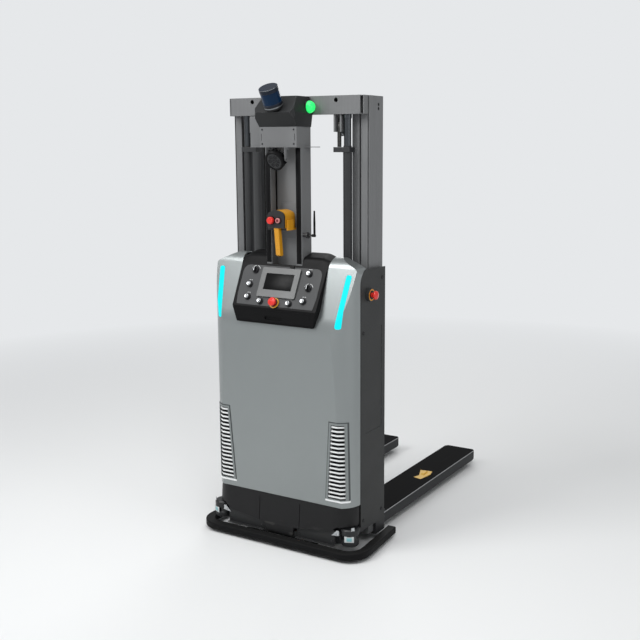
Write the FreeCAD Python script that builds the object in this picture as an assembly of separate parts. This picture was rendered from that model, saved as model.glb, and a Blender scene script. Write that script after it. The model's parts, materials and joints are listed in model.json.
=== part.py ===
import FreeCAD, Part
import math
import os

# Driverless pallet stacker: a battery truck with two forks on a two-stage mast, a silver hood over
# the drive, a sloping operator console and a sensor head on a column.
# Millimetres. X is across the truck, Y points from the console to the fork tips, Z is up. The origin
# is on the floor, under the middle of the overall length.

# ---- driving dimensions ----

# forks and their support legs
fork_length = 1150.0
fork_width = 185.0
fork_span = 685.0
fork_top = 88.0
fork_skirt = 56.0
fork_plate = 6.0
fork_nose = 120.0
fork_chamfer = 14.0
fork_lead = 9.0
shank_height = 430.0
leg_clearance = 5.0
leg_end_from_tip = 150.0
roller_radius = 39.0
roller_width = 82.0
roller_from_tip = 205.0

# mast
mast_over_head = 220.0
mast_bottom = 50.0
outer_half = 366.0
outer_depth = 130.0
outer_flange = 41.0
mast_gap = 11.0
inner_flange = 36.0
channel_wall = 10.0
stage_inset = 4.0
lift_stroke = 1450.0
carriage_thickness = 30.0
guide_clearance = 0.6
barrel_radius = 20.0
rod_radius = 16.0
cylinder_inset = 44.0
chain_inset = 86.0
crosshead_height = 80.0
crosshead_depth = 46.0
crosshead_inset = 19.0
sheave_radius = 36.0
chain_width = 16.0
chain_thickness = 8.0

# body
body_length = 421.0
body_over_mast = 19.0
shell_bottom = 236.0
shell_knee = 1060.0
shell_top = 1364.0
shell_wall = 6.0
shell_corner = 110.0
shoulder_run = 112.0
shoulder_drop = 50.0
shoulder_radius = 34.0
shell_lean = 17.0
shell_top_front = 283.0
panel_thickness = 5.0
side_panel_drop = 52.0
side_panel_bottom = 85.0
side_panel_back = 50.0
side_panel_front = 275.0
side_panel_corner = 64.0
bumper_reach = 69.0
bumper_bottom = 15.0
bumper_height = 33.0
bumper_band = 44.0
bumper_edge = 5.0
bumper_travel = 12.0

# running gear
drive_radius = 115.0
drive_width = 75.0
drive_back = 232.0
caster_radius = 50.0
caster_width = 40.0
caster_trail = 30.0
caster_x = 240.0
caster_back = 245.0

# console
console_half = 226.0
console_drop = 236.0
hatch_height = 74.0
console_tilt = 26.5
panel_length = 210.0
button_radius = 11.0
button_travel = 4.0
estop_radius = 20.0
estop_collar_radius = 30.0
estop_collar_height = 15.0
estop_travel = 5.0

# column and sensor head
column_half = 97.0
column_depth = 82.0
column_wall = 6.0
column_height = 480.0
head_box_height = 86.0
hood_kink_height = 61.0
hood_height = 132.0
lidar_radius = 43.0
lidar_height = 96.0
lidar_tilt = 28.0
beacon_radius = 27.0

# fits
running_fit = 0.05
free_gap = 0.5

# ---- sizes that follow from them ----

head_floor = shell_top + column_height
mast_top = head_floor + mast_over_head
body_half = outer_half + body_over_mast
bumper_half = body_half + bumper_reach
side_panel_top = shell_top - side_panel_drop
console_knee = shell_top - console_drop
console_bottom = console_knee - hatch_height
inner_half = outer_half - outer_flange - mast_gap
cylinder_x = inner_half - cylinder_inset
chain_x = inner_half - chain_inset
crosshead_half = outer_half - crosshead_inset

# ---- stations along the truck ----

overall_length = fork_length + body_length
tip_y = overall_length / 2
heel_y = tip_y - fork_length
front_y = -overall_length / 2


def behind(distance):
    """Y of a station measured back from the fork heel towards the console."""
    return heel_y - distance


outer_back_y = behind(carriage_thickness + 6)
outer_front_y = outer_back_y - outer_depth
inner_back_y = outer_back_y - 3
inner_front_y = outer_front_y + stage_inset
cylinder_y = outer_front_y - barrel_radius - 4
crosshead_back_y = outer_front_y - 2
crosshead_front_y = crosshead_back_y - crosshead_depth
column_back_y = crosshead_front_y - 4
column_front_y = column_back_y - column_depth
fork_centre_x = (fork_span - fork_width) / 2
leg_half = fork_width / 2 - fork_plate - leg_clearance
shell_front_y = behind(362)
console_bottom_y = behind(391)
console_knee_y = behind(396)
drive_y = behind(drive_back)
caster_y = behind(caster_back)
roller_y = tip_y - roller_from_tip
lift_top_z = mast_top - crosshead_height

os.makedirs("parts", exist_ok=True)


# ---- helpers ----


def vec(x, y, z):
    return FreeCAD.Vector(x, y, z)


def box(x0, x1, y0, y1, z0, z1):
    return Part.makeBox(x1 - x0, y1 - y0, z1 - z0, vec(x0, y0, z0))


def round_bar(start, direction, radius, length):
    return Part.makeCylinder(radius, length, vec(*start), vec(*direction))


def cone(start, direction, radius0, radius1, length):
    return Part.makeCone(radius0, radius1, length, vec(*start), vec(*direction))


def mirrored(shape):
    return shape.mirror(vec(0, 0, 0), vec(1, 0, 0))


def fuse(first, *others):
    shape = first
    for other in others:
        shape = shape.fuse(other)
    return shape.removeSplitter()


def both_sides(shape):
    """A piece and its mirror image across the truck's centre plane, as two solids."""
    return Part.makeCompound([shape, mirrored(shape)])


def outline(corners):
    """Closed wire in the XY plane; each corner is (u, v) or (u, v, radius)."""
    count = len(corners)
    ends = []
    for index, corner in enumerate(corners):
        point = vec(corner[0], corner[1], 0)
        radius = corner[2] if len(corner) > 2 else 0
        if radius == 0:
            ends.append((point, None, point))
            continue
        before = vec(*corners[index - 1][:2], 0) - point
        after = vec(*corners[(index + 1) % count][:2], 0) - point
        before.normalize()
        after.normalize()
        half = before.getAngle(after) / 2
        reach = radius / math.tan(half)
        middle = before + after
        middle.normalize()
        nearest = point + middle * (radius / math.sin(half) - radius)
        ends.append((point + before * reach, nearest, point + after * reach))
    edges = []
    for index, (start, nearest, finish) in enumerate(ends):
        if nearest is not None:
            edges.append(Part.Arc(start, nearest, finish).toShape())
        following = ends[(index + 1) % count][0]
        if (following - finish).Length > 1e-6:
            edges.append(Part.LineSegment(finish, following).toShape())
    return Part.Wire(edges)


def prism_z(corners, z0, z1):
    """Outline in X and Y, raised from z0 to z1."""
    face = Part.Face(outline(corners))
    face.translate(vec(0, 0, z0))
    return face.extrude(vec(0, 0, z1 - z0))


def prism_x(corners, x0, x1):
    """Outline in Y and Z, drawn out from x0 to x1."""
    face = Part.Face(outline(corners))
    face.rotate(vec(0, 0, 0), vec(1, 1, 1), 120)
    face.translate(vec(x0, 0, 0))
    return face.extrude(vec(x1 - x0, 0, 0))


def prism_y(corners, y0, y1):
    """Outline in X and Z, drawn out from y0 to y1."""
    face = Part.Face(outline(corners))
    face.rotate(vec(0, 0, 0), vec(1, 0, 0), 90)
    face.translate(vec(0, y0, 0))
    return face.extrude(vec(0, y1 - y0, 0))


def revolved(corners, start, direction):
    """Outline of radius and height, spun about a line through start."""
    face = Part.Face(outline(corners))
    face.rotate(vec(0, 0, 0), vec(1, 0, 0), 90)
    solid = face.revolve(vec(0, 0, 0), vec(0, 0, 1), 360)
    turn = FreeCAD.Rotation(vec(0, 0, 1), vec(*direction))
    solid.Placement = FreeCAD.Placement(vec(*start), turn)
    return solid


def save(name, shape):
    solids = shape.Solids
    whole = solids[0] if len(solids) == 1 else Part.makeCompound(solids)
    if not whole.isValid():
        print("not valid:", name)
    whole.exportStep("parts/" + name + ".step")
    print(f"{name}: {len(solids)} solid(s), {whole.Volume / 1e6:.3f} litres")


# ---- forks, carriage and support legs ----

fork_skirt_bottom = fork_top - fork_skirt
leg_top = fork_top - fork_plate - leg_clearance + 1
leg_bottom = 30.0
flap_x = fork_centre_x + 22
flap_y = behind(-595)
flap_back = 58.0
flap_front = 62.0
flap_angle = 4.5


def fork_plan(x, half, back_y, end_y, chamfer):
    """Plan of one fork, its tip corners cut off."""
    return [
        (x - half, back_y),
        (x + half, back_y),
        (x + half, end_y - chamfer, 4),
        (x + half - chamfer, end_y, 4),
        (x - half + chamfer, end_y, 4),
        (x - half, end_y - chamfer, 4),
    ]


def fork(side):
    """One fork: an upturned channel with a closed nose and a shank that hangs on the carriage."""
    x = side * fork_centre_x
    half = fork_width / 2
    back_y = behind(carriage_thickness)
    body = prism_z(fork_plan(x, half, back_y, tip_y, fork_chamfer), fork_skirt_bottom, fork_top)
    nose_cut = prism_x(
        [
            (tip_y - 4 * fork_lead, fork_skirt_bottom),
            (tip_y + 1, fork_skirt_bottom + fork_lead),
            (tip_y + 1, fork_skirt_bottom - 5),
        ],
        x - half - 1,
        x + half + 1,
    )
    cavity = box(
        x - half + fork_plate,
        x + half - fork_plate,
        back_y - 1,
        tip_y - fork_nose,
        fork_skirt_bottom - 1,
        fork_top - fork_plate,
    )
    body = body.cut(nose_cut).cut(cavity)
    shank = box(x - half, x + half, back_y, heel_y, fork_top - fork_plate, fork_top + shank_height)
    gusset_face = [
        (heel_y, fork_top, 0),
        (heel_y + 46, fork_top, 0),
        (heel_y, fork_top + 60, 0),
    ]
    gusset = prism_x(gusset_face, x - half, x - half + 12)
    other_gusset = prism_x(gusset_face, x + half - 12, x + half)
    body = fuse(body, shank, gusset, other_gusset)
    if side > 0:
        body = body.cut(prism_z(flap_plan(1.0), fork_top - fork_plate - 1, fork_top + 1))
    return body


def flap_plan(grow):
    """Pointed plan of the pallet flap and, grown a little, of its window in the fork."""
    return [
        (flap_x + 37 + grow, flap_y + 24 + grow),
        (flap_x + 29 + grow, flap_y + flap_front + grow),
        (flap_x - 38 - grow, flap_y + flap_front - 8 + grow),
        (flap_x - 14 - grow, flap_y - 12),
        (flap_x - 30 - grow, flap_y - 46 - grow),
        (flap_x + 17, flap_y - flap_back - grow),
    ]


flap_hinge_y = flap_y - flap_back + 11
flap_hinge_z = fork_top - 3


def pallet_flap():
    """Sprung flap in the right fork: it stands up out of its window and a pallet presses it flush."""
    lip_y = flap_y + flap_front + 1
    rise = (lip_y - flap_hinge_y) * math.tan(math.radians(flap_angle))
    sheet = prism_x(
        [
            (flap_hinge_y - 12, fork_top - 4),
            (flap_hinge_y, fork_top - 4),
            (lip_y, fork_top + rise - 4),
            (lip_y, fork_top + rise - 0.5),
            (flap_hinge_y, fork_top - 0.5),
            (flap_hinge_y - 12, fork_top - 0.5),
        ],
        flap_x - 60,
        flap_x + 60,
    )
    lever = prism_x(
        [
            (flap_y - 10, fork_top - 2),
            (flap_y + 50, fork_top + 2),
            (flap_y + 44, fork_top + 14, 4),
            (flap_y + 6, fork_top + 10, 8),
        ],
        flap_x - 9,
        flap_x + 9,
    )
    return fuse(sheet.common(prism_z(flap_plan(0), fork_top - 8, fork_top + 30)), lever)


def support_leg(side):
    """Leg inside a fork; its end is forked round the load roller and carries the roller's axle."""
    x = side * fork_centre_x
    end_y = tip_y - leg_end_from_tip
    slot_half = roller_width / 2 + 1
    leg = box(x - leg_half, x + leg_half, outer_back_y, end_y, leg_bottom, leg_top)
    slot_back = roller_y - roller_radius - 6
    leg = leg.cut(box(x - slot_half, x + slot_half, slot_back, end_y + 1, leg_bottom - 1, leg_top + 1))
    cross = box(x - slot_half, x + slot_half, end_y - 8, end_y, leg_bottom, leg_top)
    axle = round_bar((x - leg_half, roller_y, roller_radius), (1, 0, 0), 10, 2 * leg_half)
    return fuse(leg, cross, axle)


def load_roller(side):
    x = side * fork_centre_x - roller_width / 2
    profile = [
        (10 + running_fit, 0),
        (roller_radius - 3, 0),
        (roller_radius, 4),
        (roller_radius, roller_width - 4),
        (roller_radius - 3, roller_width),
        (10 + running_fit, roller_width),
    ]
    return revolved(profile, (x, roller_y, roller_radius), (1, 0, 0))


carriage_bottom = fork_top + 30
carriage_top = fork_top + shank_height - 20
channel_inner_half = outer_depth / 2 - channel_wall
inner_middle_y = (inner_front_y + inner_back_y) / 2
inner_clear_half = (inner_back_y - inner_front_y) / 2 - channel_wall
guide_radius = inner_clear_half - guide_clearance
carriage_cheek_outer = inner_half - inner_flange - 2
guide_width = inner_flange - channel_wall - 5
guide_heights = [carriage_bottom + 60, carriage_top - 60]
backrest_hole_x = 150.0
backrest_hole_gap = 60.0
backrest_hole_radius = 6.6


def carriage():
    """Fork carrier: two cross bars between cheeks whose guide rollers run in the inner mast."""
    bar_back = behind(carriage_thickness)
    bar_front = heel_y - 2
    inside = fork_centre_x - fork_width / 2
    lower = box(-inside, inside, bar_back, bar_front, carriage_bottom, carriage_bottom + 90)
    upper = box(-inside, inside, bar_back, bar_front, carriage_top - 100, carriage_top)
    frame = lower.fuse(upper)
    for x in (-backrest_hole_x / 2, backrest_hole_x / 2):
        for z in (carriage_top - 50 - backrest_hole_gap / 2, carriage_top - 50 + backrest_hole_gap / 2):
            frame = frame.cut(round_bar((x, bar_back - 1, z), (0, 1, 0), backrest_hole_radius, 40))
    for side in (-1, 1):
        outer = carriage_cheek_outer
        cheek_y = inner_middle_y - guide_radius
        cheek = box(outer - 14, outer, cheek_y + 12, bar_back, carriage_bottom, carriage_top)
        for z in guide_heights:
            roller = round_bar((outer - 1, inner_middle_y, z), (1, 0, 0), guide_radius, guide_width)
            cheek = cheek.fuse(roller)
        tie = box(inside - 1, outer, bar_back - 12, bar_back, carriage_bottom, carriage_bottom + 90)
        upper_tie = box(inside - 1, outer, bar_back - 12, bar_back, carriage_top - 100, carriage_top)
        lug = box(chain_x - 14, chain_x + 14, sheave_rear_y - 10, bar_back, carriage_top - 130, carriage_top - 100)
        half = fuse(cheek, tie, upper_tie, lug)
        frame = frame.fuse(half if side > 0 else mirrored(half))
    back_plate = box(-inside, inside, bar_back - 12, bar_back, carriage_bottom, carriage_bottom + 90)
    upper_back = box(-inside, inside, bar_back - 12, bar_back, carriage_top - 100, carriage_top)
    return fuse(frame, back_plate, upper_back)


# ---- mast ----

sheave_y = cylinder_y + 4 + sheave_radius
sheave_z = lift_top_z - sheave_radius - chain_thickness - 10
sheave_front_y = sheave_y - sheave_radius - chain_thickness / 2
sheave_rear_y = sheave_y + sheave_radius + chain_thickness / 2
gland_radius = rod_radius + 2.5
anchor_top = head_floor - 2
anchor_bottom = anchor_top - 22
mast_tie_height = 110.0
mast_tie_thickness = 6.0


def channel(outer_x, width, front_y, back_y, z0, z1):
    """Mast channel with its web outside and its flanges pointing at the truck's centre plane."""
    inner_x = outer_x - width
    return prism_z(
        [
            (inner_x, front_y),
            (outer_x, front_y, 4),
            (outer_x, back_y, 8),
            (inner_x, back_y),
            (inner_x, back_y - channel_wall, 2),
            (outer_x - channel_wall, back_y - channel_wall, 6),
            (outer_x - channel_wall, front_y + channel_wall, 6),
            (inner_x, front_y + channel_wall, 2),
        ],
        z0,
        z1,
    )


def outer_mast():
    """Fixed mast stage: two channels joined by low ties behind the hood."""
    rail = channel(outer_half, outer_flange, outer_front_y, outer_back_y, mast_bottom, mast_top)
    seam = box(outer_half - 8, outer_half - 3, outer_front_y - 1, outer_front_y + 7, shell_top - 200, mast_top + 1)
    rail = rail.cut(seam)
    shape = rail.fuse(mirrored(rail))
    tie_front = cylinder_y - barrel_radius - 1 - mast_tie_thickness
    for z in mast_tie_bottoms:
        tie = box(
            -outer_half + 12,
            outer_half - 12,
            tie_front,
            tie_front + mast_tie_thickness,
            z,
            z + mast_tie_height,
        )
        lug = box(outer_half - 40, outer_half - 12, tie_front, outer_front_y + 1, z, z + mast_tie_height)
        shape = shape.fuse(tie).fuse(lug).fuse(mirrored(lug))
    return shape.removeSplitter()


def inner_mast():
    """Lifting mast stage: two channels inside the outer ones, tied across below the carriage."""
    bottom = mast_bottom + 12
    rail = channel(inner_half, inner_flange, inner_front_y, inner_back_y, bottom, lift_top_z + 50)
    stub_z = bottom + 70
    stub_radius = outer_depth / 2 - channel_wall - guide_clearance
    middle_y = (outer_front_y + outer_back_y) / 2
    stub = round_bar(
        (inner_half - 2, middle_y, stub_z),
        (1, 0, 0),
        stub_radius,
        mast_gap + outer_flange - channel_wall - 6,
    )
    hub = round_bar((inner_half - 4, middle_y, stub_z), (1, 0, 0), 20, mast_gap + 8)
    rail = fuse(rail, stub.cut(round_bar((inner_half - 3, middle_y, stub_z), (1, 0, 0), 200, mast_gap + 3)), hub)
    tie = box(
        -inner_half + 4,
        inner_half - 4,
        inner_back_y - 34,
        inner_back_y - 14,
        bottom,
        carriage_bottom - 12,
    )
    return rail.fuse(mirrored(rail)).fuse(tie).removeSplitter()


def crosshead():
    """Top beam of the lifting stage, a folded section with open ends, and the sheave hangers."""
    wall = 5.0
    tube = box(
        -crosshead_half,
        crosshead_half,
        crosshead_front_y,
        crosshead_back_y,
        lift_top_z,
        mast_top,
    )
    hollow = box(
        -crosshead_half - 1,
        crosshead_half + 1,
        crosshead_front_y + wall,
        crosshead_back_y - wall,
        lift_top_z + wall,
        mast_top - wall,
    )
    beam = tube.cut(hollow)
    for x in (-lifting_hole_x, lifting_hole_x):
        beam = beam.cut(
            round_bar((x, crosshead_front_y - 1, lifting_hole_z), (0, 1, 0), lifting_hole_radius, wall + 2)
        )
    side = box(
        outer_half - 9,
        outer_half - 5,
        crosshead_front_y + 9,
        crosshead_back_y,
        lift_top_z,
        mast_top,
    )
    side = side.fuse(
        box(crosshead_half - 12, outer_half - 6, crosshead_back_y - wall, crosshead_back_y, lift_top_z, mast_top)
    )
    foot = box(
        inner_half - inner_flange + 4,
        inner_half - 4,
        crosshead_back_y - 1,
        inner_front_y,
        lift_top_z,
        lift_top_z + 44,
    )
    hanger = None
    hanger_bottom = sheave_z - 22
    for x0, x1 in (
        (chain_x - chain_width / 2 - 12, chain_x - chain_width / 2 - 4),
        (chain_x + chain_width / 2 + 4, chain_x + chain_width / 2 + 12),
    ):
        cheek = box(x0, x1, crosshead_front_y + 8, sheave_y + 16, hanger_bottom, lift_top_z + 1)
        hanger = cheek if hanger is None else hanger.fuse(cheek)
    pin = round_bar((chain_x - chain_width / 2 - 14, sheave_y, sheave_z), (1, 0, 0), 9, chain_width + 28)
    half = fuse(side, foot, hanger, pin)
    return beam.fuse(half).fuse(mirrored(half)).removeSplitter()


lifting_hole_x = 225.0
lifting_hole_z = mast_top - 19
lifting_hole_radius = 10.0


def chain_sheave(side):
    """Grooved wheel under the crosshead; the lift chain lies in its groove."""
    half = chain_width / 2 + 3
    x = side * chain_x - half
    groove = chain_width / 2 + 0.5
    profile = [
        (9 + running_fit, 0),
        (sheave_radius + 4, 0, 1),
        (sheave_radius + 4, half - groove),
        (sheave_radius - 0.4, half - groove),
        (sheave_radius - 0.4, half + groove),
        (sheave_radius + 4, half + groove),
        (sheave_radius + 4, 2 * half, 1),
        (9 + running_fit, 2 * half),
    ]
    wheel = revolved(profile, (x, sheave_y, sheave_z), (1, 0, 0))
    for step in range(5):
        angle = math.radians(72 * step)
        y = sheave_y + 22 * math.cos(angle)
        z = sheave_z + 22 * math.sin(angle)
        wheel = wheel.cut(round_bar((x - 1, y, z), (1, 0, 0), 5, 2 * half + 2))
    return wheel


def lift_chain():
    """Leaf chain: from its anchor up round the sheave and down to the carriage."""
    low_front = anchor_top + 0.5
    low_rear = carriage_top - 100 + 0.5
    inner = sheave_radius
    outer = sheave_radius + chain_thickness
    strip = Part.makeCylinder(outer, chain_width, vec(chain_x - chain_width / 2, sheave_y, sheave_z), vec(1, 0, 0))
    strip = strip.cut(
        Part.makeCylinder(inner, chain_width + 2, vec(chain_x - chain_width / 2 - 1, sheave_y, sheave_z), vec(1, 0, 0))
    )
    strip = strip.cut(
        box(chain_x - 20, chain_x + 20, sheave_y - 60, sheave_y + 60, sheave_z - 60, sheave_z)
    )
    front = box(
        chain_x - chain_width / 2,
        chain_x + chain_width / 2,
        sheave_y - outer,
        sheave_y - inner,
        low_front,
        sheave_z,
    )
    rear = box(
        chain_x - chain_width / 2,
        chain_x + chain_width / 2,
        sheave_y + inner,
        sheave_y + outer,
        low_rear,
        sheave_z,
    )
    return fuse(strip, front, rear)


barrel_foot = 152.0
barrel_top = anchor_top + 6


def cylinder_barrel():
    """Lift cylinder: foot, barrel and gland, and the bracket on its head that anchors the chain."""
    foot = box(
        cylinder_x - 26,
        cylinder_x + 26,
        cylinder_y - barrel_radius,
        cylinder_y + barrel_radius,
        barrel_foot,
        barrel_foot + 24,
    )
    barrel = round_bar((cylinder_x, cylinder_y, barrel_foot), (0, 0, 1), barrel_radius, anchor_bottom - barrel_foot)
    gland = round_bar(
        (cylinder_x, cylinder_y, anchor_bottom - 1), (0, 0, 1), gland_radius, barrel_top - anchor_bottom + 1
    )
    bracket = box(
        chain_x - chain_width / 2 - 10,
        cylinder_x + barrel_radius + 2,
        cylinder_y - barrel_radius - 2,
        outer_front_y - 1,
        anchor_bottom,
        anchor_top,
    )
    port = round_bar(
        (cylinder_x, cylinder_y, barrel_foot + 60),
        (0, -1, 0),
        7,
        barrel_radius + 12,
    )
    shape = fuse(foot, barrel, gland, bracket, port)
    bore_bottom = barrel_foot + 40
    return shape.cut(
        round_bar(
            (cylinder_x, cylinder_y, bore_bottom), (0, 0, 1), rod_radius + running_fit, barrel_top - bore_bottom + 1
        )
    )


def piston_rod():
    """Chromed ram that pushes the crosshead up; it is full length so that it stays in its gland."""
    bottom = barrel_foot + 46
    rod = round_bar((cylinder_x, cylinder_y, bottom), (0, 0, 1), rod_radius, lift_top_z - bottom)
    collar = round_bar((cylinder_x, cylinder_y, lift_top_z - 18), (0, 0, 1), rod_radius + 3, 18)
    return fuse(rod, collar)


# ---- chassis ----

skirt_half = body_half - 4
skirt_front_y = shell_front_y - 1
skirt_corner = 84.0
skirt_wall = 5.0
deck_z = 140.0
deck_thickness = 12.0
sill_inner = body_half - panel_thickness - 12
bridge_z = 252.0
beam_z = console_bottom - 54
beam_height = 30.0
mast_tie_bottoms = [beam_z - 300, beam_z + 150]
steer_bore = 80.0
battery_bottom = 600.0
shell_bracket_heights = [shell_bottom + 84, battery_bottom + 160, side_panel_top - 192]


def skirt_plan(inset, back_y):
    """Plan of the lower front, drawn in by inset."""
    half = skirt_half - inset
    return [
        (-half, back_y),
        (-half, skirt_front_y + inset, skirt_corner - inset),
        (half, skirt_front_y + inset, skirt_corner - inset),
        (half, back_y),
    ]


def chassis_frame():
    """Welded frame: deck, sills, uprights, drive bridge, mast foot and the beam under the column."""
    deck_front = skirt_front_y + skirt_wall
    deck = prism_z(skirt_plan(skirt_wall, outer_front_y - 2), deck_z, deck_z + deck_thickness)
    for side in (-1, 1):
        edge = box(sill_inner + 1, body_half, side_joint_y - 2, outer_front_y, deck_z - 1, deck_z + 20)
        deck = deck.cut(edge if side > 0 else mirrored(edge))
    drive_well = round_bar((0, drive_y, deck_z - 1), (0, 0, 1), drive_radius + 7, 30)
    deck = deck.cut(drive_well)
    for x in (-caster_x, caster_x):
        deck = deck.cut(round_bar((x, caster_y, deck_z - 1), (0, 0, 1), 9 + running_fit, 30))
    bridge = box(
        -160,
        160,
        deck_front + 14,
        behind(142),
        bridge_z,
        bridge_z + deck_thickness,
    )
    bridge = bridge.cut(round_bar((0, drive_y, bridge_z - 1), (0, 0, 1), steer_bore + running_fit, 30))
    shape = deck.fuse(bridge)
    cheek = box(148, 160, deck_front + 14, behind(142), deck_z, bridge_z + 1)
    sill = box(sill_inner, body_half - panel_thickness, side_joint_y + 1, behind(side_panel_back + 4), 100, shell_bottom)
    upright = box(
        outer_half - 24,
        sill_inner + 1,
        outer_front_y - 76,
        outer_front_y - 52,
        deck_z,
        side_panel_top - 60,
    )
    upright_web = box(
        sill_inner - 5,
        sill_inner + 1,
        outer_front_y - 76,
        outer_front_y - 2,
        deck_z,
        side_panel_top - 60,
    )
    console_foot = box(110, 180, column_front_y + 4, column_back_y, beam_z + beam_height - 1, console_bottom)
    pieces = [cheek, sill, upright, upright_web]
    for z in shell_bracket_heights:
        arm = box(sill_inner - 5, body_half, side_joint_y - 20, outer_front_y - 52, z, z + 40)
        pieces.append(arm.common(shell_solid(shell_wall)))
    beam = box(
        -outer_half + 20,
        outer_half - 20,
        column_front_y,
        column_back_y,
        beam_z,
        beam_z + beam_height,
    )
    foot = box(
        -sill_inner - 1,
        sill_inner + 1,
        outer_front_y + 45,
        outer_back_y,
        mast_bottom - 14,
        mast_bottom,
    )
    foot_side = box(
        outer_half + 1,
        body_half - panel_thickness,
        outer_front_y + 45,
        outer_back_y,
        mast_bottom - 14,
        101,
    )
    shelf = box(
        -outer_half + 20,
        outer_half - 20,
        shell_front_y + 32,
        column_back_y - 6,
        battery_bottom - deck_thickness,
        battery_bottom,
    )
    for piece in (*pieces, console_foot):
        shape = shape.fuse(piece).fuse(mirrored(piece))
    shape = shape.fuse(beam).fuse(shelf).fuse(foot).fuse(foot_side).fuse(mirrored(foot_side))
    for x in guide_arm_x, -guide_arm_x:
        keeper = box(x - 34, x + 34, front_y + 66, front_y + 86, arm_bottom - 8, deck_z + 1)
        keeper = keeper.cut(
            box(
                x - 20 - free_gap,
                x + 20 + free_gap,
                front_y + 65,
                front_y + 87,
                arm_bottom - free_gap,
                arm_bottom + 8 + free_gap,
            )
        )
        shape = shape.fuse(keeper)
    return shape.removeSplitter()


guide_arm_x = 165.0
arm_bottom = bumper_bottom + bumper_height - 8


def bumper_ring():
    """Touch bumper just above the floor: a rounded band that wraps the front and both sides."""
    end_y = behind(20)
    side_y = behind(290)
    taper = 20.0

    def ring_face(inset, end_gap):
        half = bumper_half - inset
        return [
            (-half + taper, end_y - end_gap),
            (-half, side_y, 200),
            (-half, front_y + inset, 105 - inset),
            (half, front_y + inset, 105 - inset),
            (half, side_y, 200),
            (half - taper, end_y - end_gap),
        ]

    top = bumper_bottom + bumper_height
    outer = prism_z(ring_face(0, 0), bumper_bottom, top)
    inner = prism_z(ring_face(bumper_band, -5), bumper_bottom - 1, top + 1)
    band = outer.cut(inner)
    edges = [
        edge
        for edge in band.Edges
        if abs(edge.BoundBox.ZLength) < 0.01
        and max(abs(edge.BoundBox.XMin), abs(edge.BoundBox.XMax), -edge.BoundBox.YMin) > bumper_half - 4
    ]
    rounded = band.makeFillet(bumper_edge, edges) if edges else band
    ring = rounded if rounded.isValid() else band
    for x in (-guide_arm_x, guide_arm_x):
        arm = box(x - 20, x + 20, front_y + bumper_band - 1, front_y + 92, arm_bottom, arm_bottom + 8)
        ring = ring.fuse(arm)
    return ring.removeSplitter()


# ---- front shell ----


def shell_solid(inset):
    """Outer form of the hood, drawn in by inset on every outside face."""
    half = body_half - inset
    front = shell_front_y + inset
    knee_y = front - shell_lean
    slope_y = behind(shell_top_front) + inset
    back = column_back_y + 2 if inset == 0 else column_back_y + 40
    side_view = prism_x(
        [
            (front, shell_bottom - (0 if inset == 0 else 20)),
            (knee_y, shell_knee, 260),
            (slope_y, shell_top - inset, 62),
            (back, shell_top - inset - 6),
            (back, shell_bottom - (0 if inset == 0 else 20)),
        ],
        -half,
        half,
    )
    front_view = prism_y(
        [
            (-half, shell_bottom - 30),
            (half, shell_bottom - 30),
            (half, shell_top - inset - shoulder_drop, shoulder_radius),
            (half - shoulder_run, shell_top - inset, 90),
            (shoulder_run - half, shell_top - inset, 90),
            (-half, shell_top - inset - shoulder_drop, shoulder_radius),
        ],
        front - 60,
        back + 10,
    )
    plan = prism_z(
        [
            (-half, back + 5),
            (-half, front - shell_lean, shell_corner),
            (half, front - shell_lean, shell_corner),
            (half, back + 5),
        ],
        shell_bottom - 30,
        shell_top + 10,
    )
    return side_view.common(front_view).common(plan)


def shell_skin(outer_inset, inner_inset):
    return shell_solid(outer_inset).cut(shell_solid(inner_inset))


vent_low = shell_bottom + 39
vent_height = 349.0
vent_slats = 18
vent_rim = 13.0
vent_rim_height = 2.0
vent_flange = 9.0
slat_share = 0.5


def vent_region(grow, y_back):
    """Slanting four-sided area of a cooling vent on the right front corner."""
    vent_high = vent_low + vent_height
    return prism_y(
        [
            (body_half - 120 - grow, vent_low - grow),
            (body_half - 33 + grow, vent_low - grow),
            (body_half - 37 + grow, vent_high + grow),
            (body_half - 96 - grow, vent_high + grow),
        ],
        shell_front_y - 60,
        y_back,
    )


light_width = 28.0
light_depth = 3.0
light_low = (body_half - 63, shell_top - 305)
light_high = (body_half - 38, shell_top - 71)
light_end = 10.0


def light_region(grow, y_back):
    """Upright band of a status light on the right front corner."""
    half = light_width / 2 + grow
    return prism_y(
        [
            (light_low[0] - half, light_low[1] - grow, light_end),
            (light_low[0] + half, light_low[1] - grow, light_end),
            (light_high[0] + half, light_high[1] + grow, light_end),
            (light_high[0] - half, light_high[1] + grow, light_end),
        ],
        shell_front_y - 60,
        y_back,
    )


side_joint_y = behind(side_panel_front)
vent_cut_y = side_joint_y - 15


def side_panel_outline(grow):
    """Side view of a side panel; its upper front corner is a quarter round under the shoulder."""
    front = side_joint_y - grow
    back = behind(side_panel_back) + 1
    return [
        (back, side_panel_bottom),
        (front, side_panel_bottom + 36, 20),
        (front, side_panel_top + grow, side_panel_corner),
        (back, side_panel_top + grow - 4),
    ]


def front_shell():
    """Moulded hood: hollow, open behind, cut for the console, the side panels and the vents."""
    shell = shell_skin(0, shell_wall)
    rim = shell_skin(-vent_rim_height, 1).common(vent_region(vent_rim, vent_cut_y))
    shell = shell.fuse(rim).fuse(mirrored(rim))
    for side in (1, -1):
        vent = vent_region(0, vent_cut_y)
        light = light_region(0, vent_cut_y).common(shell_skin(-1, light_depth))
        panel = prism_x(side_panel_outline(1.0), body_half - panel_thickness - 2, body_half + 2)
        for cutter in (vent, light, panel):
            shell = shell.cut(cutter if side > 0 else mirrored(cutter))
    gap = console_region(1.0)
    shell = shell.cut(gap)
    slot_half = column_half + 1
    slot_back = column_back_y + 60
    slot = box(-slot_half, slot_half, column_front_y - 1, slot_back, shell_top - 64, shell_top + 36)
    shell = shell.cut(slot)
    return max(shell.Solids, key=lambda solid: solid.Volume)


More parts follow.
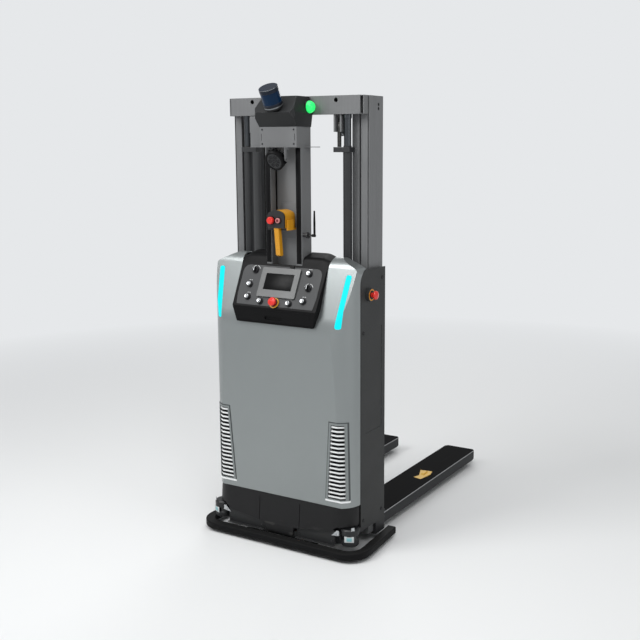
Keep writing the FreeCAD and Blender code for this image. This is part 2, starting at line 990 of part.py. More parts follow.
def louvre_insert():
    """One vent insert: level slats in the opening, held by a flange behind the shell's wall."""
    flange = shell_skin(shell_wall + 0.05, shell_wall + 3).common(vent_region(vent_flange, vent_cut_y))
    insert = flange.cut(vent_region(-2, vent_cut_y))
    slats = shell_skin(1, shell_wall + 3).common(vent_region(-0.3, vent_cut_y))
    pitch = vent_height / vent_slats
    for step in range(vent_slats):
        z = vent_low + pitch * (step + 0.5)
        height = pitch * slat_share
        level = box(0, body_half, shell_front_y - 38, vent_cut_y, z - height / 2, z + height / 2)
        insert = insert.fuse(slats.common(level))
    return insert


def light_strip():
    return shell_skin(0, light_depth).common(light_region(-0.3, vent_cut_y))


def side_panel(side):
    """Flat steel side cover with a folded rear edge and a shallow pressed recess."""
    outer = body_half
    panel = prism_x(side_panel_outline(0), outer - panel_thickness, outer)
    back = behind(side_panel_back) + 1
    rear_fold = box(
        outer_half + 3,
        outer - panel_thickness + 1,
        back - 5,
        back,
        side_panel_bottom + 30,
        side_panel_top - 20,
    )
    pressing = box(
        outer - 1.2,
        outer + 1,
        side_joint_y + 40,
        back - 30,
        battery_bottom - 40,
        side_panel_top - 272,
    )
    at = (outer - 1, side_estop_y, side_estop_z)
    collar = round_bar(at, (1, 0, 0), estop_collar_radius, estop_collar_height + 1)
    hole_start = (outer - 10, side_estop_y, side_estop_z)
    hole = round_bar(hole_start, (1, 0, 0), estop_stem_radius + free_gap, estop_collar_height + 20)
    panel = fuse(panel, rear_fold, collar).cut(pressing).cut(hole)
    return panel if side > 0 else mirrored(panel)


side_estop_y = behind(200)
side_estop_z = side_panel_top - 116
estop_stem_radius = 11.0


def side_estop(side):
    """Mushroom stop button on a side panel, with the stem that runs through the cover."""
    start = body_half - 8
    lift = 8 + estop_collar_height + estop_travel - 4
    profile = [
        (0, 0),
        (estop_stem_radius, 0),
        (estop_stem_radius, lift + 8),
        (14, lift + 12, 3),
        (estop_radius, lift + 15, 3),
        (estop_radius, lift + 24, 7),
        (0, lift + 31),
    ]
    head = revolved(profile, (start, side_estop_y, side_estop_z), (1, 0, 0))
    return head if side > 0 else mirrored(head)


skirt_lean = 13.0
skirt_low = 122.0
skirt_middle_low = 97.0
tongue_bottom = 58.0
tongue_half = 84.0


def base_skirt():
    """Dark lower front: it leans out from the shell's plan to a tongue, cut away for the scanners."""
    top = shell_bottom
    front = skirt_front_y
    joint = side_joint_y - 3
    upper = outline(skirt_plan(0, side_joint_y + 30))
    upper.translate(vec(0, 0, top))
    lower_corners = [
        (corner[0], corner[1] - (skirt_lean if len(corner) > 2 else 0), *corner[2:])
        for corner in skirt_plan(0, side_joint_y + 30)
    ]
    lower = outline(lower_corners)
    lower.translate(vec(0, 0, skirt_middle_low))
    skirt = Part.makeLoft([lower, upper], True, True)
    bottom = skirt_middle_low - 1
    skirt = skirt.cut(prism_z(skirt_plan(skirt_wall, side_joint_y + 31), bottom, top - skirt_wall))
    skirt = skirt.cut(prism_z(skirt_plan(17, side_joint_y + 31), bottom, top + 1))
    skirt = skirt.cut(box(-body_half, body_half, joint, side_joint_y + 40, bottom, top + 1))
    slope_end = scanner_x - scanner_radius - 39
    below = prism_y(
        [
            (tongue_half, bottom - 1),
            (body_half + 1, bottom - 1),
            (body_half + 1, skirt_low),
            (slope_end, skirt_low - 2),
            (tongue_half, skirt_middle_low),
        ],
        front - 30,
        side_joint_y + 40,
    )
    arch = prism_y(
        [
            (slope_end, bottom),
            (slope_end, skirt_low - 3),
            (scanner_x - 39, scanner_top + 8),
            (body_half + 1, scanner_top + 8),
            (body_half + 1, bottom),
        ],
        front - 30,
        front + 24,
    )
    pocket = round_bar((scanner_x, scanner_y, bottom), (0, 0, 1), scanner_radius + 9, scanner_top + 8 - bottom)
    for cutter in (below, arch, pocket):
        skirt = skirt.cut(cutter).cut(mirrored(cutter))
    tongue = prism_y(
        [
            (-tongue_half, skirt_middle_low + 2),
            (tongue_half, skirt_middle_low + 2),
            (tongue_half - 8, tongue_bottom, 6),
            (8 - tongue_half, tongue_bottom, 6),
        ],
        front - skirt_lean,
        front + skirt_wall,
    )
    skirt = fuse(skirt, tongue)
    for x in (-113, 113):
        skirt = skirt.cut(box(x - 1.5, x + 1.5, front - skirt_lean - 1, front + 1, bottom, top - 20))
    return max(skirt.Solids, key=lambda solid: solid.Volume)


scanner_x = body_half - 26
scanner_y = behind(325)
scanner_radius = 44.0
scanner_bottom = 58.0
scanner_top = 140.0


def safety_scanner():
    """Corner laser scanner: a round body with a window band, hung under the deck by its foot."""
    height = scanner_top - scanner_bottom
    profile = [
        (0, 0),
        (scanner_radius - 8, 0),
        (scanner_radius - 3, 6),
        (scanner_radius - 3, 26),
        (scanner_radius - 9, 31),
        (scanner_radius - 9, 47),
        (scanner_radius, 52),
        (scanner_radius, height - 6, 4),
        (scanner_radius - 6, height),
        (0, height),
    ]
    body = revolved(profile, (scanner_x, scanner_y, scanner_bottom), (0, 0, 1))
    arm = prism_z(
        [
            (scanner_x - 95, scanner_y - 14),
            (scanner_x, scanner_y - 24),
            (scanner_x, scanner_y + 24),
            (scanner_x - 95, scanner_y + 14),
        ],
        deck_z - 14,
        deck_z,
    )
    return fuse(body, arm)


# ---- console ----


def on_console(shape):
    """Place a piece drawn flat (X across, Y up the slope, Z outward) on the sloping console."""
    shape.rotate(vec(0, 0, 0), vec(1, 0, 0), 90 - console_tilt)
    shape.translate(vec(0, console_knee_y, console_knee))
    return shape


console_sine = math.sin(math.radians(console_tilt))
console_cosine = math.cos(math.radians(console_tilt))
brow_y = console_knee_y + panel_length * console_sine
brow_z = console_knee + panel_length * console_cosine


def console_profile(inset):
    return [
        (console_bottom_y + inset, console_bottom + inset, 6),
        (console_knee_y + inset, console_knee, 10),
        (brow_y + inset, brow_z, 10),
        (brow_y + 16 + inset, brow_z + 38 - inset, 26),
        (column_back_y, brow_z + 56 - inset),
        (column_back_y, console_bottom + inset),
    ]


def console_front(inset):
    half = console_half - inset
    return [
        (-half + 20, console_bottom + inset, 8),
        (half - 20, console_bottom + inset, 8),
        (half, console_knee, 60),
        (half + 6, brow_z - 10, 200),
        (half + 18, brow_z + 70),
        (-half - 18, brow_z + 70),
        (-half - 6, brow_z - 10, 200),
        (-half, console_knee, 60),
    ]


def console_block(inset):
    side_view = prism_x(console_profile(inset), -console_half - 30, console_half + 30)
    front_view = prism_y(console_front(inset), console_knee_y - 20, column_back_y)
    return side_view.common(front_view)


def console_region(gap):
    """Space that the console takes out of the shell."""
    side_view = prism_x(
        [
            (console_knee_y - 20, console_bottom - gap),
            (console_knee_y - 20, brow_z + 120),
            (column_back_y + 60, brow_z + 120),
            (column_back_y + 60, console_bottom - gap),
        ],
        -console_half - 40,
        console_half + 40,
    )
    front_view = prism_y(console_front(-gap), console_knee_y - 30, column_back_y + 80)
    return side_view.common(front_view)


panel_half = 214.0
panel_recess = 4.0
hatch_half = 196.0
latch_x = 50.0
hatch_bottom = console_bottom + 7
hatch_top = console_knee - 8


def panel_outline(grow):
    half = panel_half + grow
    return [
        (-half + 8, 10 - grow, 6),
        (half - 8, 10 - grow, 6),
        (half, 60, 200),
        (half, panel_length - 8 + grow, 34),
        (-half, panel_length - 8 + grow, 34),
        (-half, 60, 200),
    ]


def console_hood():
    """Black moulded console: a hollow hood round the column with a seat for the panel and hatch."""
    hood = console_block(0).cut(console_block(6))
    solid = console_block(0)
    rim = solid.common(on_console(prism_z(panel_outline(7), -16, 0.5)))
    hatch_rim = solid.common(
        box(-hatch_half - 8, hatch_half + 8, console_knee_y - 5, console_bottom_y + 22, console_bottom, console_knee)
    )
    hood = hood.fuse(rim).fuse(hatch_rim)
    seat = on_console(prism_z(panel_outline(0.6), -panel_recess, 20))
    under = on_console(prism_z(panel_outline(-8), -40, 1))
    tray = box(
        -hatch_half - free_gap,
        hatch_half + free_gap,
        console_knee_y - 20,
        console_bottom_y + 14,
        hatch_bottom - free_gap,
        hatch_top + free_gap,
    )
    hood = hood.cut(seat).cut(under).cut(tray)
    slot = box(
        -column_half - 1.5,
        column_half + 1.5,
        column_front_y - 1.5,
        column_back_y + 10,
        console_bottom - 10,
        brow_z + 100,
    )
    hood = hood.cut(slot).cut(on_console(round_bar((*stop_place, -40), (0, 0, 1), 11.5, 60)))
    rim_v = panel_length - 8
    latch = box(latch_x - 11, latch_x + 11, rim_v - 5, rim_v + 6, free_gap, 5)
    latch = latch.fuse(box(latch_x - 11, latch_x + 11, rim_v + 1.5, rim_v + 6, -8, 5))
    return fuse(max(hood.Solids, key=lambda part: part.Volume), on_console(latch))


hatch_pin_radius = 4.0
hatch_pin_y = console_bottom_y + hatch_pin_radius
hatch_pin_z = hatch_bottom + hatch_pin_radius


def console_hatch():
    """Flap across the foot of the console, hinged along its lower edge, with a finger slot."""
    slope = (console_knee_y - console_bottom_y) / (console_knee - console_bottom)
    face = prism_x(
        [
            (console_bottom_y, hatch_bottom, hatch_pin_radius - 0.4),
            (console_bottom_y + slope * (hatch_top - console_bottom), hatch_top),
            (console_bottom_y + slope * (hatch_top - console_bottom) + 6, hatch_top),
            (console_bottom_y + 2 * hatch_pin_radius, hatch_bottom, hatch_pin_radius - 0.4),
        ],
        -hatch_half,
        hatch_half,
    )
    finger = prism_y(
        [
            (-48, hatch_bottom + 14, 7),
            (48, hatch_bottom + 14, 7),
            (48, hatch_bottom + 30, 7),
            (-48, hatch_bottom + 30, 7),
        ],
        console_knee_y - 10,
        console_knee_y + 9,
    )
    return face.cut(finger)


selector_places = [(-145.0, 176.0), (160.0, 108.0)]
button_places = {
    "button_start": (-158.0, 106.0),
    "button_reset": (-152.0, 46.0),
    "button_mode": (-78.0, 30.0),
    "button_lower": (78.0, 30.0),
    "button_lift": (150.0, 46.0),
    "button_power": (148.0, 176.0),
}
stop_place = (0.0, 28.0)
stem_radius = 7.0
screen_half = 103.0
screen_low = 52.0
screen_high = 192.0


def instrument_panel():
    """Flat panel with a hole for every control and a window for the screen unit."""
    plate = prism_z(panel_outline(0), -panel_recess, 0)
    for u, v in list(button_places.values()) + selector_places:
        plate = plate.cut(round_bar((u, v, -10), (0, 0, 1), stem_radius + 0.3, 20))
    plate = plate.cut(round_bar((*stop_place, -10), (0, 0, 1), 11.5, 20))
    window = box(
        -screen_half + 12, screen_half - 12, screen_low + 12, screen_high - 12, -20, 20
    )
    plate = plate.cut(window)
    return on_console(plate)


def screen_unit():
    """Operator screen: a raised bezel with its display standing back in the frame."""
    bezel = prism_z(
        [
            (-screen_half, screen_low, 5),
            (screen_half, screen_low, 5),
            (screen_half, screen_high, 5),
            (-screen_half, screen_high, 5),
        ],
        0,
        8,
    )
    glass_recess = box(-76, 76, screen_low + 34, screen_high - 28, 6, 10)
    half = screen_half - 13
    back = box(-half, half, screen_low + 13, screen_high - 42, -22, 1)
    shallow = box(-half, half, screen_low + 13, screen_high - 13, -7, 1)
    return on_console(fuse(bezel, back, shallow).cut(glass_recess))


def push_button(place):
    u, v = place
    profile = [
        (0, -24),
        (stem_radius, -24),
        (stem_radius, button_travel + 0.6),
        (button_radius, button_travel + 0.6),
        (button_radius, 15, 2),
        (8, 16),
        (0, 15),
    ]
    return on_console(revolved(profile, (u, v, 0), (0, 0, 1)))


def selector(place):
    """Turning switch: a round skirt with a finger bar across it."""
    u, v = place
    knob = revolved(
        [
            (0, -24),
            (stem_radius, -24),
            (stem_radius, 0.6),
            (button_radius + 3, 0.6),
            (button_radius + 3, 6, 1),
            (button_radius, 9),
            (0, 9),
        ],
        (u, v, 0),
        (0, 0, 1),
    )
    bar = box(u - 3.5, u + 3.5, v - 11, v + 11, 8, 20)
    return on_console(fuse(knob, bar))


def console_estop():
    profile = [
        (0, -28),
        (11, -28),
        (11, 12),
        (14, 16, 3),
        (estop_radius, 18, 3),
        (estop_radius, 26, 6),
        (0, 32),
    ]
    return on_console(revolved(profile, (*stop_place, 0), (0, 0, 1)))


# ---- column and sensor head ----

head_front_y = column_front_y - 36
head_back_y = column_back_y
hood_base = head_floor + head_box_height
spotlight_z = head_floor - 54
spotlight_radius = 46.0
spotlight_depth = 44.0
spotlight_aim = 28.0
head_box_half = column_half + 1.5
junction_reach = 118.0


def column():
    """Upright channel, open to the front, with a cable slot down its web."""
    top = head_floor - 3
    rim = 30.0
    profile = [
        (-column_half, column_back_y, 5),
        (-column_half, column_front_y, 3),
        (-column_half + rim, column_front_y),
        (-column_half + rim, column_front_y + column_wall),
        (-column_half + column_wall, column_front_y + column_wall),
        (-column_half + column_wall, column_back_y - column_wall),
        (column_half - column_wall, column_back_y - column_wall),
        (column_half - column_wall, column_front_y + column_wall),
        (column_half - rim, column_front_y + column_wall),
        (column_half - rim, column_front_y),
        (column_half, column_front_y, 3),
        (column_half, column_back_y, 5),
    ]
    shape = prism_z(profile, beam_z + beam_height, top)
    slot = box(
        -35,
        -30,
        column_back_y - column_wall - 1,
        column_back_y + 1,
        remote_top + 12,
        spotlight_z - 40,
    )
    return shape.cut(slot)


def sensor_box():
    """Box of the sensor head on its floor plate, with the junction box beside it."""
    plate = prism_z(
        [
            (-column_half - junction_reach - 1, head_back_y),
            (-column_half - junction_reach - 1, head_back_y - 30),
            (-column_half - 20, head_back_y - 50),
            (-head_box_half, head_front_y, 4),
            (head_box_half, head_front_y, 4),
            (column_half, head_back_y - 60),
            (column_half + 48, head_back_y - 30, 6),
            (column_half + 48, head_back_y),
        ],
        head_floor - 3,
        head_floor,
    )
    body = prism_z(
        [
            (-column_half + 2, head_back_y),
            (-head_box_half, head_front_y, 4),
            (head_box_half, head_front_y, 4),
            (column_half - 2, head_back_y),
        ],
        head_floor - 0.5,
        hood_base,
    )
    for side in (-1, 1):
        x = side * (head_box_half - 10)
        body = body.cut(box(x - 1.5, x + 1.5, head_front_y - 1, head_front_y + 4, head_floor + 26, head_floor + 56))
    junction = box(
        -column_half - junction_reach,
        -column_half + 3,
        head_back_y - 28,
        head_back_y,
        head_floor - 0.5,
        lift_top_z - 4,
    )
    arm_x = spotlight_radius + 2.5
    arm = prism_x(
        [
            (spotlight_y - 8, spotlight_z - 8, 7),
            (spotlight_y + 8, spotlight_z - 8, 7),
            (spotlight_y + 8, head_floor - 14),
            (head_front_y + 20, head_floor - 14),
            (head_front_y + 20, head_floor - 2),
            (spotlight_y - 8, head_floor - 4),
        ],
        arm_x,
        arm_x + 4,
    )
    arm = arm.cut(round_bar((arm_x - 1, spotlight_y, spotlight_z), (1, 0, 0), 3 + running_fit, 6))
    return fuse(plate, body, junction.cut(sensor_hood()), arm, mirrored(arm))


spotlight_y = column_front_y - 50


def sensor_hood():
    """Faceted cover of the sensor head: it flares out to a kink and slopes back above it."""
    kink_z = hood_base + hood_kink_height
    top_z = hood_base + hood_height
    side_view = prism_x(
        [
            (head_front_y - 1, hood_base),
            (head_front_y - 42, kink_z),
            (head_front_y + 17, top_z),
            (head_back_y, top_z),
            (head_back_y, hood_base),
        ],
        -200,
        200,
    )
    front_view = prism_y(
        [
            (-head_box_half, hood_base),
            (head_box_half, hood_base),
            (column_half + 10, kink_z),
            (column_half - 8, top_z),
            (-column_half + 8, top_z),
            (-column_half - 10, kink_z),
        ],
        head_front_y - 60,
        head_back_y + 1,
    )
    corner = prism_z(
        [
            (-column_half - 12, head_back_y + 1),
            (-column_half - 12, head_front_y - 18),
            (-column_half + 14, head_front_y - 50),
            (column_half - 14, head_front_y - 50),
            (column_half + 12, head_front_y - 18),
            (column_half + 12, head_back_y + 1),
        ],
        hood_base - 5,
        top_z + 5,
    )
    return side_view.common(front_view).common(corner)


facet_rise = hood_height - hood_kink_height
facet_run = 59.0
lidar_place = 0.3
lidar_base_y = head_front_y - 42 + facet_run * lidar_place
lidar_base_z = hood_base + hood_kink_height + facet_rise * lidar_place
lidar_axis = (0.0, -math.sin(math.radians(lidar_tilt)), math.cos(math.radians(lidar_tilt)))
lidar_foot = 26.0
lidar_cap = 20.0


def along_lidar(distance):
    """Point on the lidar's axis, measured from where it leaves the hood."""
    return (0.0, lidar_base_y + lidar_axis[1] * distance, lidar_base_z + lidar_axis[2] * distance)


def lidar_body():
    """Foot and cap of the scanning lidar, joined by its core."""
    foot = revolved(
        [(0, 0), (lidar_radius, 0), (lidar_radius, lidar_foot, 2), (0, lidar_foot)], along_lidar(0), lidar_axis
    )
    cap_start = lidar_height - lidar_cap
    cap = revolved(
        [(0, cap_start), (lidar_radius, cap_start), (lidar_radius, lidar_height, 4), (0, lidar_height)],
        along_lidar(0),
        lidar_axis,
    )
    core = revolved([(0, 1), (9, 1), (9, lidar_height - 1), (0, lidar_height - 1)], along_lidar(0), lidar_axis)
    body = fuse(foot, cap, core)
    return body.cut(sensor_hood())


def lidar_window():
    return revolved(
        [
            (lidar_radius - 4, lidar_foot),
            (lidar_radius - 1, lidar_foot),
            (lidar_radius - 1, lidar_height - lidar_cap),
            (lidar_radius - 4, lidar_height - lidar_cap),
        ],
        along_lidar(0),
        lidar_axis,
    )


beacon_y = crosshead_front_y - beacon_radius - 1.5
beacon_z = hood_base + 86
beacon_base = 12.0


def signal_beacon():
    """Domed green status light on the right flank of the sensor hood."""
    start = column_half - 4
    dome = beacon_base + beacon_radius
    return revolved(
        [
            (0, 0),
            (beacon_radius, 0),
            (beacon_radius, dome, beacon_radius - 0.5),
            (0, dome),
        ],
        (start, beacon_y, beacon_z),
        (1, 0, 0),
    ).cut(sensor_hood())


def spotlight():
    """Finned round lamp held in a yoke under the sensor head and aimed at the floor ahead."""
    rim = spotlight_radius
    core = rim - 8
    depth = spotlight_depth
    lamp = revolved(
        [
            (0, 0),
            (core - 12, 0),
            (core, 8),
            (core, depth - 14),
            (rim, depth - 13),
            (rim, depth - 3),
            (rim - 3, depth),
            (core - 1, depth),
            (core - 2, depth - 3),
            (0, depth - 3),
        ],
        (0, 0, 0),
        (0, 0, 1),
    )
    for step in range(16):
        fin = box(-2.4, 2.4, core - 3, rim - 0.5, 7, depth - 13.5)
        fin.rotate(vec(0, 0, 0), vec(0, 0, 1), 22.5 * step + 11.25)
        lamp = lamp.fuse(fin)
    aim = math.radians(spotlight_aim)
    forward = vec(0, -math.cos(aim), -math.sin(aim))
    centre = vec(0, spotlight_y, spotlight_z)
    turn = FreeCAD.Rotation(vec(0, 0, 1), forward)
    lamp.Placement = FreeCAD.Placement(centre - forward * (depth / 2), turn)
    pin = round_bar((-rim - 6.5, spotlight_y, spotlight_z), (1, 0, 0), 3, 2 * rim + 13)
    return fuse(lamp, pin)


antenna_x = column_half + 58
antenna_y = behind(286)
antenna_z = shell_top + 91


def antenna():
    """Rod aerial: a knurled nut, an elbow and a rod that folds about the elbow."""
    elbow = round_bar((antenna_x - 12, antenna_y, antenna_z), (1, 0, 0), 6.5, 16)
    blade = round_bar((antenna_x, antenna_y, antenna_z - 4), (0, 0, 1), 5, 64)
    tip = cone((antenna_x, antenna_y, antenna_z + 60), (0, 0, 1), 5, 3.6, 50)
    return fuse(elbow, blade, tip)


def antenna_socket():
    """Threaded stub and nut that carry the aerial on the column's flank."""
    start = column_half - column_wall
    stub = round_bar((start, antenna_y, antenna_z), (1, 0, 0), 4, antenna_x - 12.2 - start)
    nut = round_bar((column_half, antenna_y, antenna_z), (1, 0, 0), 9, 16)
    knob = round_bar((column_half + 18, antenna_y, antenna_z), (1, 0, 0), 14, 9)
    return fuse(stub, nut, knob)


# ---- hand-held remote ----

remote_x = -3.0
remote_half = 46.0
remote_height = 80.0
remote_front_y = column_front_y - 58
remote_back_y = column_front_y + 28
remote_bottom = shell_top + 123
remote_top = remote_bottom + remote_height
remote_face_z = remote_bottom + 34
grip_half = 12.0
grip_depth = 23.0
grip_length = 127.0
grip_rake = 14.0
remote_buttons = {
    "pendant_stop": (remote_x - 22, 16.0, 18.0),
    "pendant_enable": (remote_x + 15, 12.0, 10.0),
}


def pendant():
    """Pistol-shaped remote: a head with a domed top and a raked grip under it."""
    head = prism_y(
        [
            (remote_x - remote_half, remote_bottom, 5),
            (remote_x + remote_half, remote_bottom, 5),
            (remote_x + remote_half, remote_top - 14, 24),
            (remote_x, remote_top + 4, 60),
            (remote_x - remote_half, remote_top - 14, 24),
        ],
        remote_front_y,
        remote_back_y,
    )
    grip_front = remote_front_y + 2
    grip = prism_x(
        [
            (grip_front, remote_bottom + 2),
            (grip_front + grip_depth, remote_bottom + 2),
            (grip_front + grip_depth + grip_rake, remote_bottom - grip_length, 9),
            (grip_front + grip_rake, remote_bottom - grip_length, 9),
        ],
        remote_x - grip_half,
        remote_x + grip_half,
    )
    shape = fuse(head, grip)
    for x, radius, height in remote_buttons.values():
        hole = round_bar((x, remote_front_y - 1, remote_face_z), (0, 1, 0), button_stem_radius + 0.3, 22)
        shape = shape.cut(hole)
    return shape


button_stem_radius = 8.0


def pendant_button(place):
    x, radius, height = place
    stem = button_stem_radius
    profile = [(0, -14), (stem, -14), (stem, 4.6), (radius, 4.6), (radius, height, 3), (0, height + 1)]
    return revolved(profile, (x, remote_front_y, remote_face_z), (0, -1, 0))


def pendant_holster():
    """Hook that the remote hangs in, bolted into the column's channel."""
    web_y = column_back_y - column_wall
    shelf_front = remote_front_y + 16
    shelf_bottom = remote_bottom - 10
    back = box(-60, 60, web_y - 8, web_y, remote_bottom - 54, remote_top + 26)
    left = remote_x - remote_half - 10
    right = remote_x + remote_half + 10
    shelf = box(left, right, shelf_front, web_y - 7, shelf_bottom, remote_bottom - 0.4)
    gap = grip_half + 8
    way = box(
        remote_x - gap,
        remote_x + gap,
        shelf_front - 1,
        remote_front_y + grip_depth + grip_rake + 6,
        shelf_bottom - 1,
        remote_bottom,
    )
    shape = fuse(back, shelf.cut(way))
    for x in (left, right - 8):
        shape = shape.fuse(box(x, x + 8, shelf_front, shelf_front + 44, shelf_bottom, remote_bottom + 36))
    return shape.removeSplitter()


# ---- running gear and internals ----


def drive_unit():
    """Steered drive: a slewing collar in the bridge, a motor above and a gear case at the wheel."""
    collar = round_bar((0, drive_y, bridge_z - 8), (0, 0, 1), steer_bore, deck_thickness + 7)
    flange = round_bar((0, drive_y, bridge_z + deck_thickness + 0.5), (0, 0, 1), steer_bore + 8, 10)
    throat = round_bar((0, drive_y, bridge_z + 4), (0, 0, 1), steer_bore - 6, 14)
    motor = round_bar((0, drive_y, bridge_z + 20), (0, 0, 1), 70, 210)
    cap = round_bar((0, drive_y, bridge_z + 230), (0, 0, 1), 56, 36)
    case = prism_x(
        [
            (drive_y - 44, bridge_z - 6),
            (drive_y - 44, drive_radius, 44),
            (drive_y, drive_radius - 62, 44),
            (drive_y + 44, drive_radius, 44),
            (drive_y + 44, bridge_z - 6),
        ],
        drive_width / 2 + 4,
        drive_width / 2 + 44,
    )
    axle = round_bar((-drive_width / 2, drive_y, drive_radius), (1, 0, 0), 16, drive_width + 10)
    return fuse(collar, throat, flange, motor, cap, case, axle)


def drive_wheel():
    half = drive_width / 2
    profile = [
        (16 + running_fit, -half + 12),
        (60, -half + 12),
        (60, -half, 0),
        (drive_radius - 5, -half),
        (drive_radius, -half + 6),
        (drive_radius, half - 6),
        (drive_radius - 5, half),
        (60, half),
        (60, half - 2),
        (16 + running_fit, half - 2),
    ]
    return revolved(profile, (0, drive_y, drive_radius), (1, 0, 0))


def caster_fork(side):
    """Swivelling caster frame: king pin through the deck, crown and two cheeks on the axle."""
    x = side * caster_x
    axle_y = caster_y + caster_trail
    crown_z = 2 * caster_radius + 6
    pin = round_bar((x, caster_y, crown_z + 5), (0, 0, 1), 9, deck_z + deck_thickness + 14 - crown_z)
    crown = prism_z(
        [
            (x - 29, caster_y - 26, 10),
            (x + 29, caster_y - 26, 10),
            (x + 29, axle_y + 16, 10),
            (x - 29, axle_y + 16, 10),
        ],
        crown_z,
        crown_z + 8,
    )
    collar = round_bar((x, caster_y, crown_z + 7), (0, 0, 1), 24, deck_z - crown_z - 7.5)
    shape = fuse(pin, crown, collar)
    for x0 in (x - 29, x + 24):
        cheek = prism_x(
            [
                (caster_y - 22, crown_z + 2),
                (caster_y + 6, caster_radius - 6, 16),
                (axle_y, caster_radius - 16, 12),
                (axle_y + 16, caster_radius, 12),
                (axle_y + 14, crown_z + 2),
            ],
            x0,
            x0 + 5,
        )
        shape = shape.fuse(cheek)
    axle = round_bar((x - 28, axle_y, caster_radius), (1, 0, 0), 6, 56)
    return shape.fuse(axle).removeSplitter()


def caster_wheel(side):
    half = caster_width / 2
    profile = [
        (6 + running_fit, -half),
        (caster_radius - 4, -half),
        (caster_radius, -half + 6),
        (caster_radius, half - 6),
        (caster_radius - 4, half),
        (6 + running_fit, half),
    ]
    return revolved(profile, (side * caster_x, caster_y + caster_trail, caster_radius), (1, 0, 0))


battery_half = body_half - 95


def battery_pack():
    """Traction battery in its steel tray, standing on the frame above the drive."""
    front = shell_front_y + 20
    case = prism_z(
        [
            (-battery_half, column_back_y - 6, 8),
            (-battery_half, front, 8),
            (battery_half, front, 8),
            (battery_half, column_back_y - 6, 8),
        ],
        battery_bottom,
        beam_z - 20,
    )
    lid_groove = box(-battery_half - 1, battery_half + 1, front - 1, front + 3, beam_z - 90, beam_z - 84)
    plug = box(180, 250, front + 20, front + 60, beam_z - 21, beam_z - 6)
    return fuse(case.cut(lid_groove), plug)


unit_x = body_half - 135
unit_y = behind(300)
deck_top = deck_z + deck_thickness


def hydraulic_unit():
    """Pump motor, valve block and oil tank beside the drive, standing on the deck."""
    foot = box(unit_x - 60, unit_x + 60, unit_y - 38, unit_y + 38, deck_top, deck_top + 6)
    motor = round_bar((unit_x, unit_y, deck_top + 5), (0, 0, 1), 38, 80)
    block = box(unit_x - 45, unit_x + 45, unit_y - 38, unit_y + 38, deck_top + 84, deck_top + 124)
    tank = prism_z(
        [
            (unit_x - 78, unit_y - 40, 12),
            (unit_x + 78, unit_y - 40, 12),
            (unit_x + 78, unit_y + 40, 12),
            (unit_x - 78, unit_y + 40, 12),
        ],
        deck_top + 123,
        deck_top + 320,
    )
    filler = round_bar((unit_x + 45, unit_y, deck_top + 319), (0, 0, 1), 16, 14)
    return fuse(tank, block, motor, filler, foot)


def drive_controller():
    """Ribbed power controller on the left, standing on the deck."""
    x = -unit_x
    base = box(x - 80, x + 80, unit_y + 20, unit_y + 30, deck_top, deck_top + 300)
    body = box(x - 70, x + 70, unit_y - 20, unit_y + 21, deck_top + 20, deck_top + 280)
    shape = base.fuse(body)
    for step in range(8):
        rib_x = x - 63 + 18 * step
        shape = shape.fuse(box(rib_x - 2, rib_x + 2, unit_y - 34, unit_y - 19, deck_top + 24, deck_top + 276))
    return shape.removeSplitter()


# ---- write every piece ----

PIECES = {
    "chassis_frame": chassis_frame(),
    "support_legs": both_sides(support_leg(1)),
    "front_shell": front_shell(),
    "side_panel_left": side_panel(-1),
    "side_panel_right": side_panel(1),
    "base_skirt": base_skirt(),
    "louvre_inserts": both_sides(louvre_insert()),
    "light_strips": both_sides(light_strip()),
    "console_hood": console_hood(),
    "instrument_panel": instrument_panel(),
    "screen_unit": screen_unit(),
    "outer_mast": outer_mast(),
    "cylinder_barrels": both_sides(cylinder_barrel()),
    "column": fuse(column(), antenna_socket()),
    "sensor_box": sensor_box(),
    "sensor_hood": sensor_hood(),
    "lidar_body": lidar_body(),
    "lidar_window": lidar_window(),
    "signal_beacon": signal_beacon(),
    "safety_scanners": both_sides(safety_scanner()),
    "battery_pack": battery_pack(),
    "hydraulic_unit": hydraulic_unit(),
    "drive_controller": drive_controller(),
    "pendant_holster": pendant_holster(),
    "bumper_ring": bumper_ring(),
    "inner_mast": inner_mast(),
    "crosshead": crosshead(),
    "piston_rods": both_sides(piston_rod()),
    "lift_chains": both_sides(lift_chain()),
    "chain_sheave_left": chain_sheave(-1),
    "chain_sheave_right": chain_sheave(1),
    "carriage": carriage(),
    "fork_left": fork(-1),
    "fork_right": fork(1),
    "pallet_flap": pallet_flap(),
    "drive_unit": drive_unit(),
    "drive_wheel": drive_wheel(),
    "caster_fork_left": caster_fork(-1),
    "caster_fork_right": caster_fork(1),
    "caster_wheel_left": caster_wheel(-1),
    "caster_wheel_right": caster_wheel(1),
    "load_roller_left": load_roller(-1),
    "load_roller_right": load_roller(1),
    "console_estop": console_estop(),
    "side_estop_left": side_estop(-1),
    "side_estop_right": side_estop(1),
    "selector_left": selector(selector_places[0]),
    "selector_right": selector(selector_places[1]),
    "console_hatch": console_hatch(),
    "antenna": antenna(),
    "spotlight": spotlight(),
    "pendant": pendant(),
}
for button_name, button_place in remote_buttons.items():
    PIECES[button_name] = pendant_button(button_place)
for button_name, button_place in button_places.items():
    PIECES[button_name] = push_button(button_place)

for piece_name, piece in PIECES.items():
    save(piece_name, piece)
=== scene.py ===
import json
import math

import bmesh
import bpy
from mathutils import Matrix, Vector


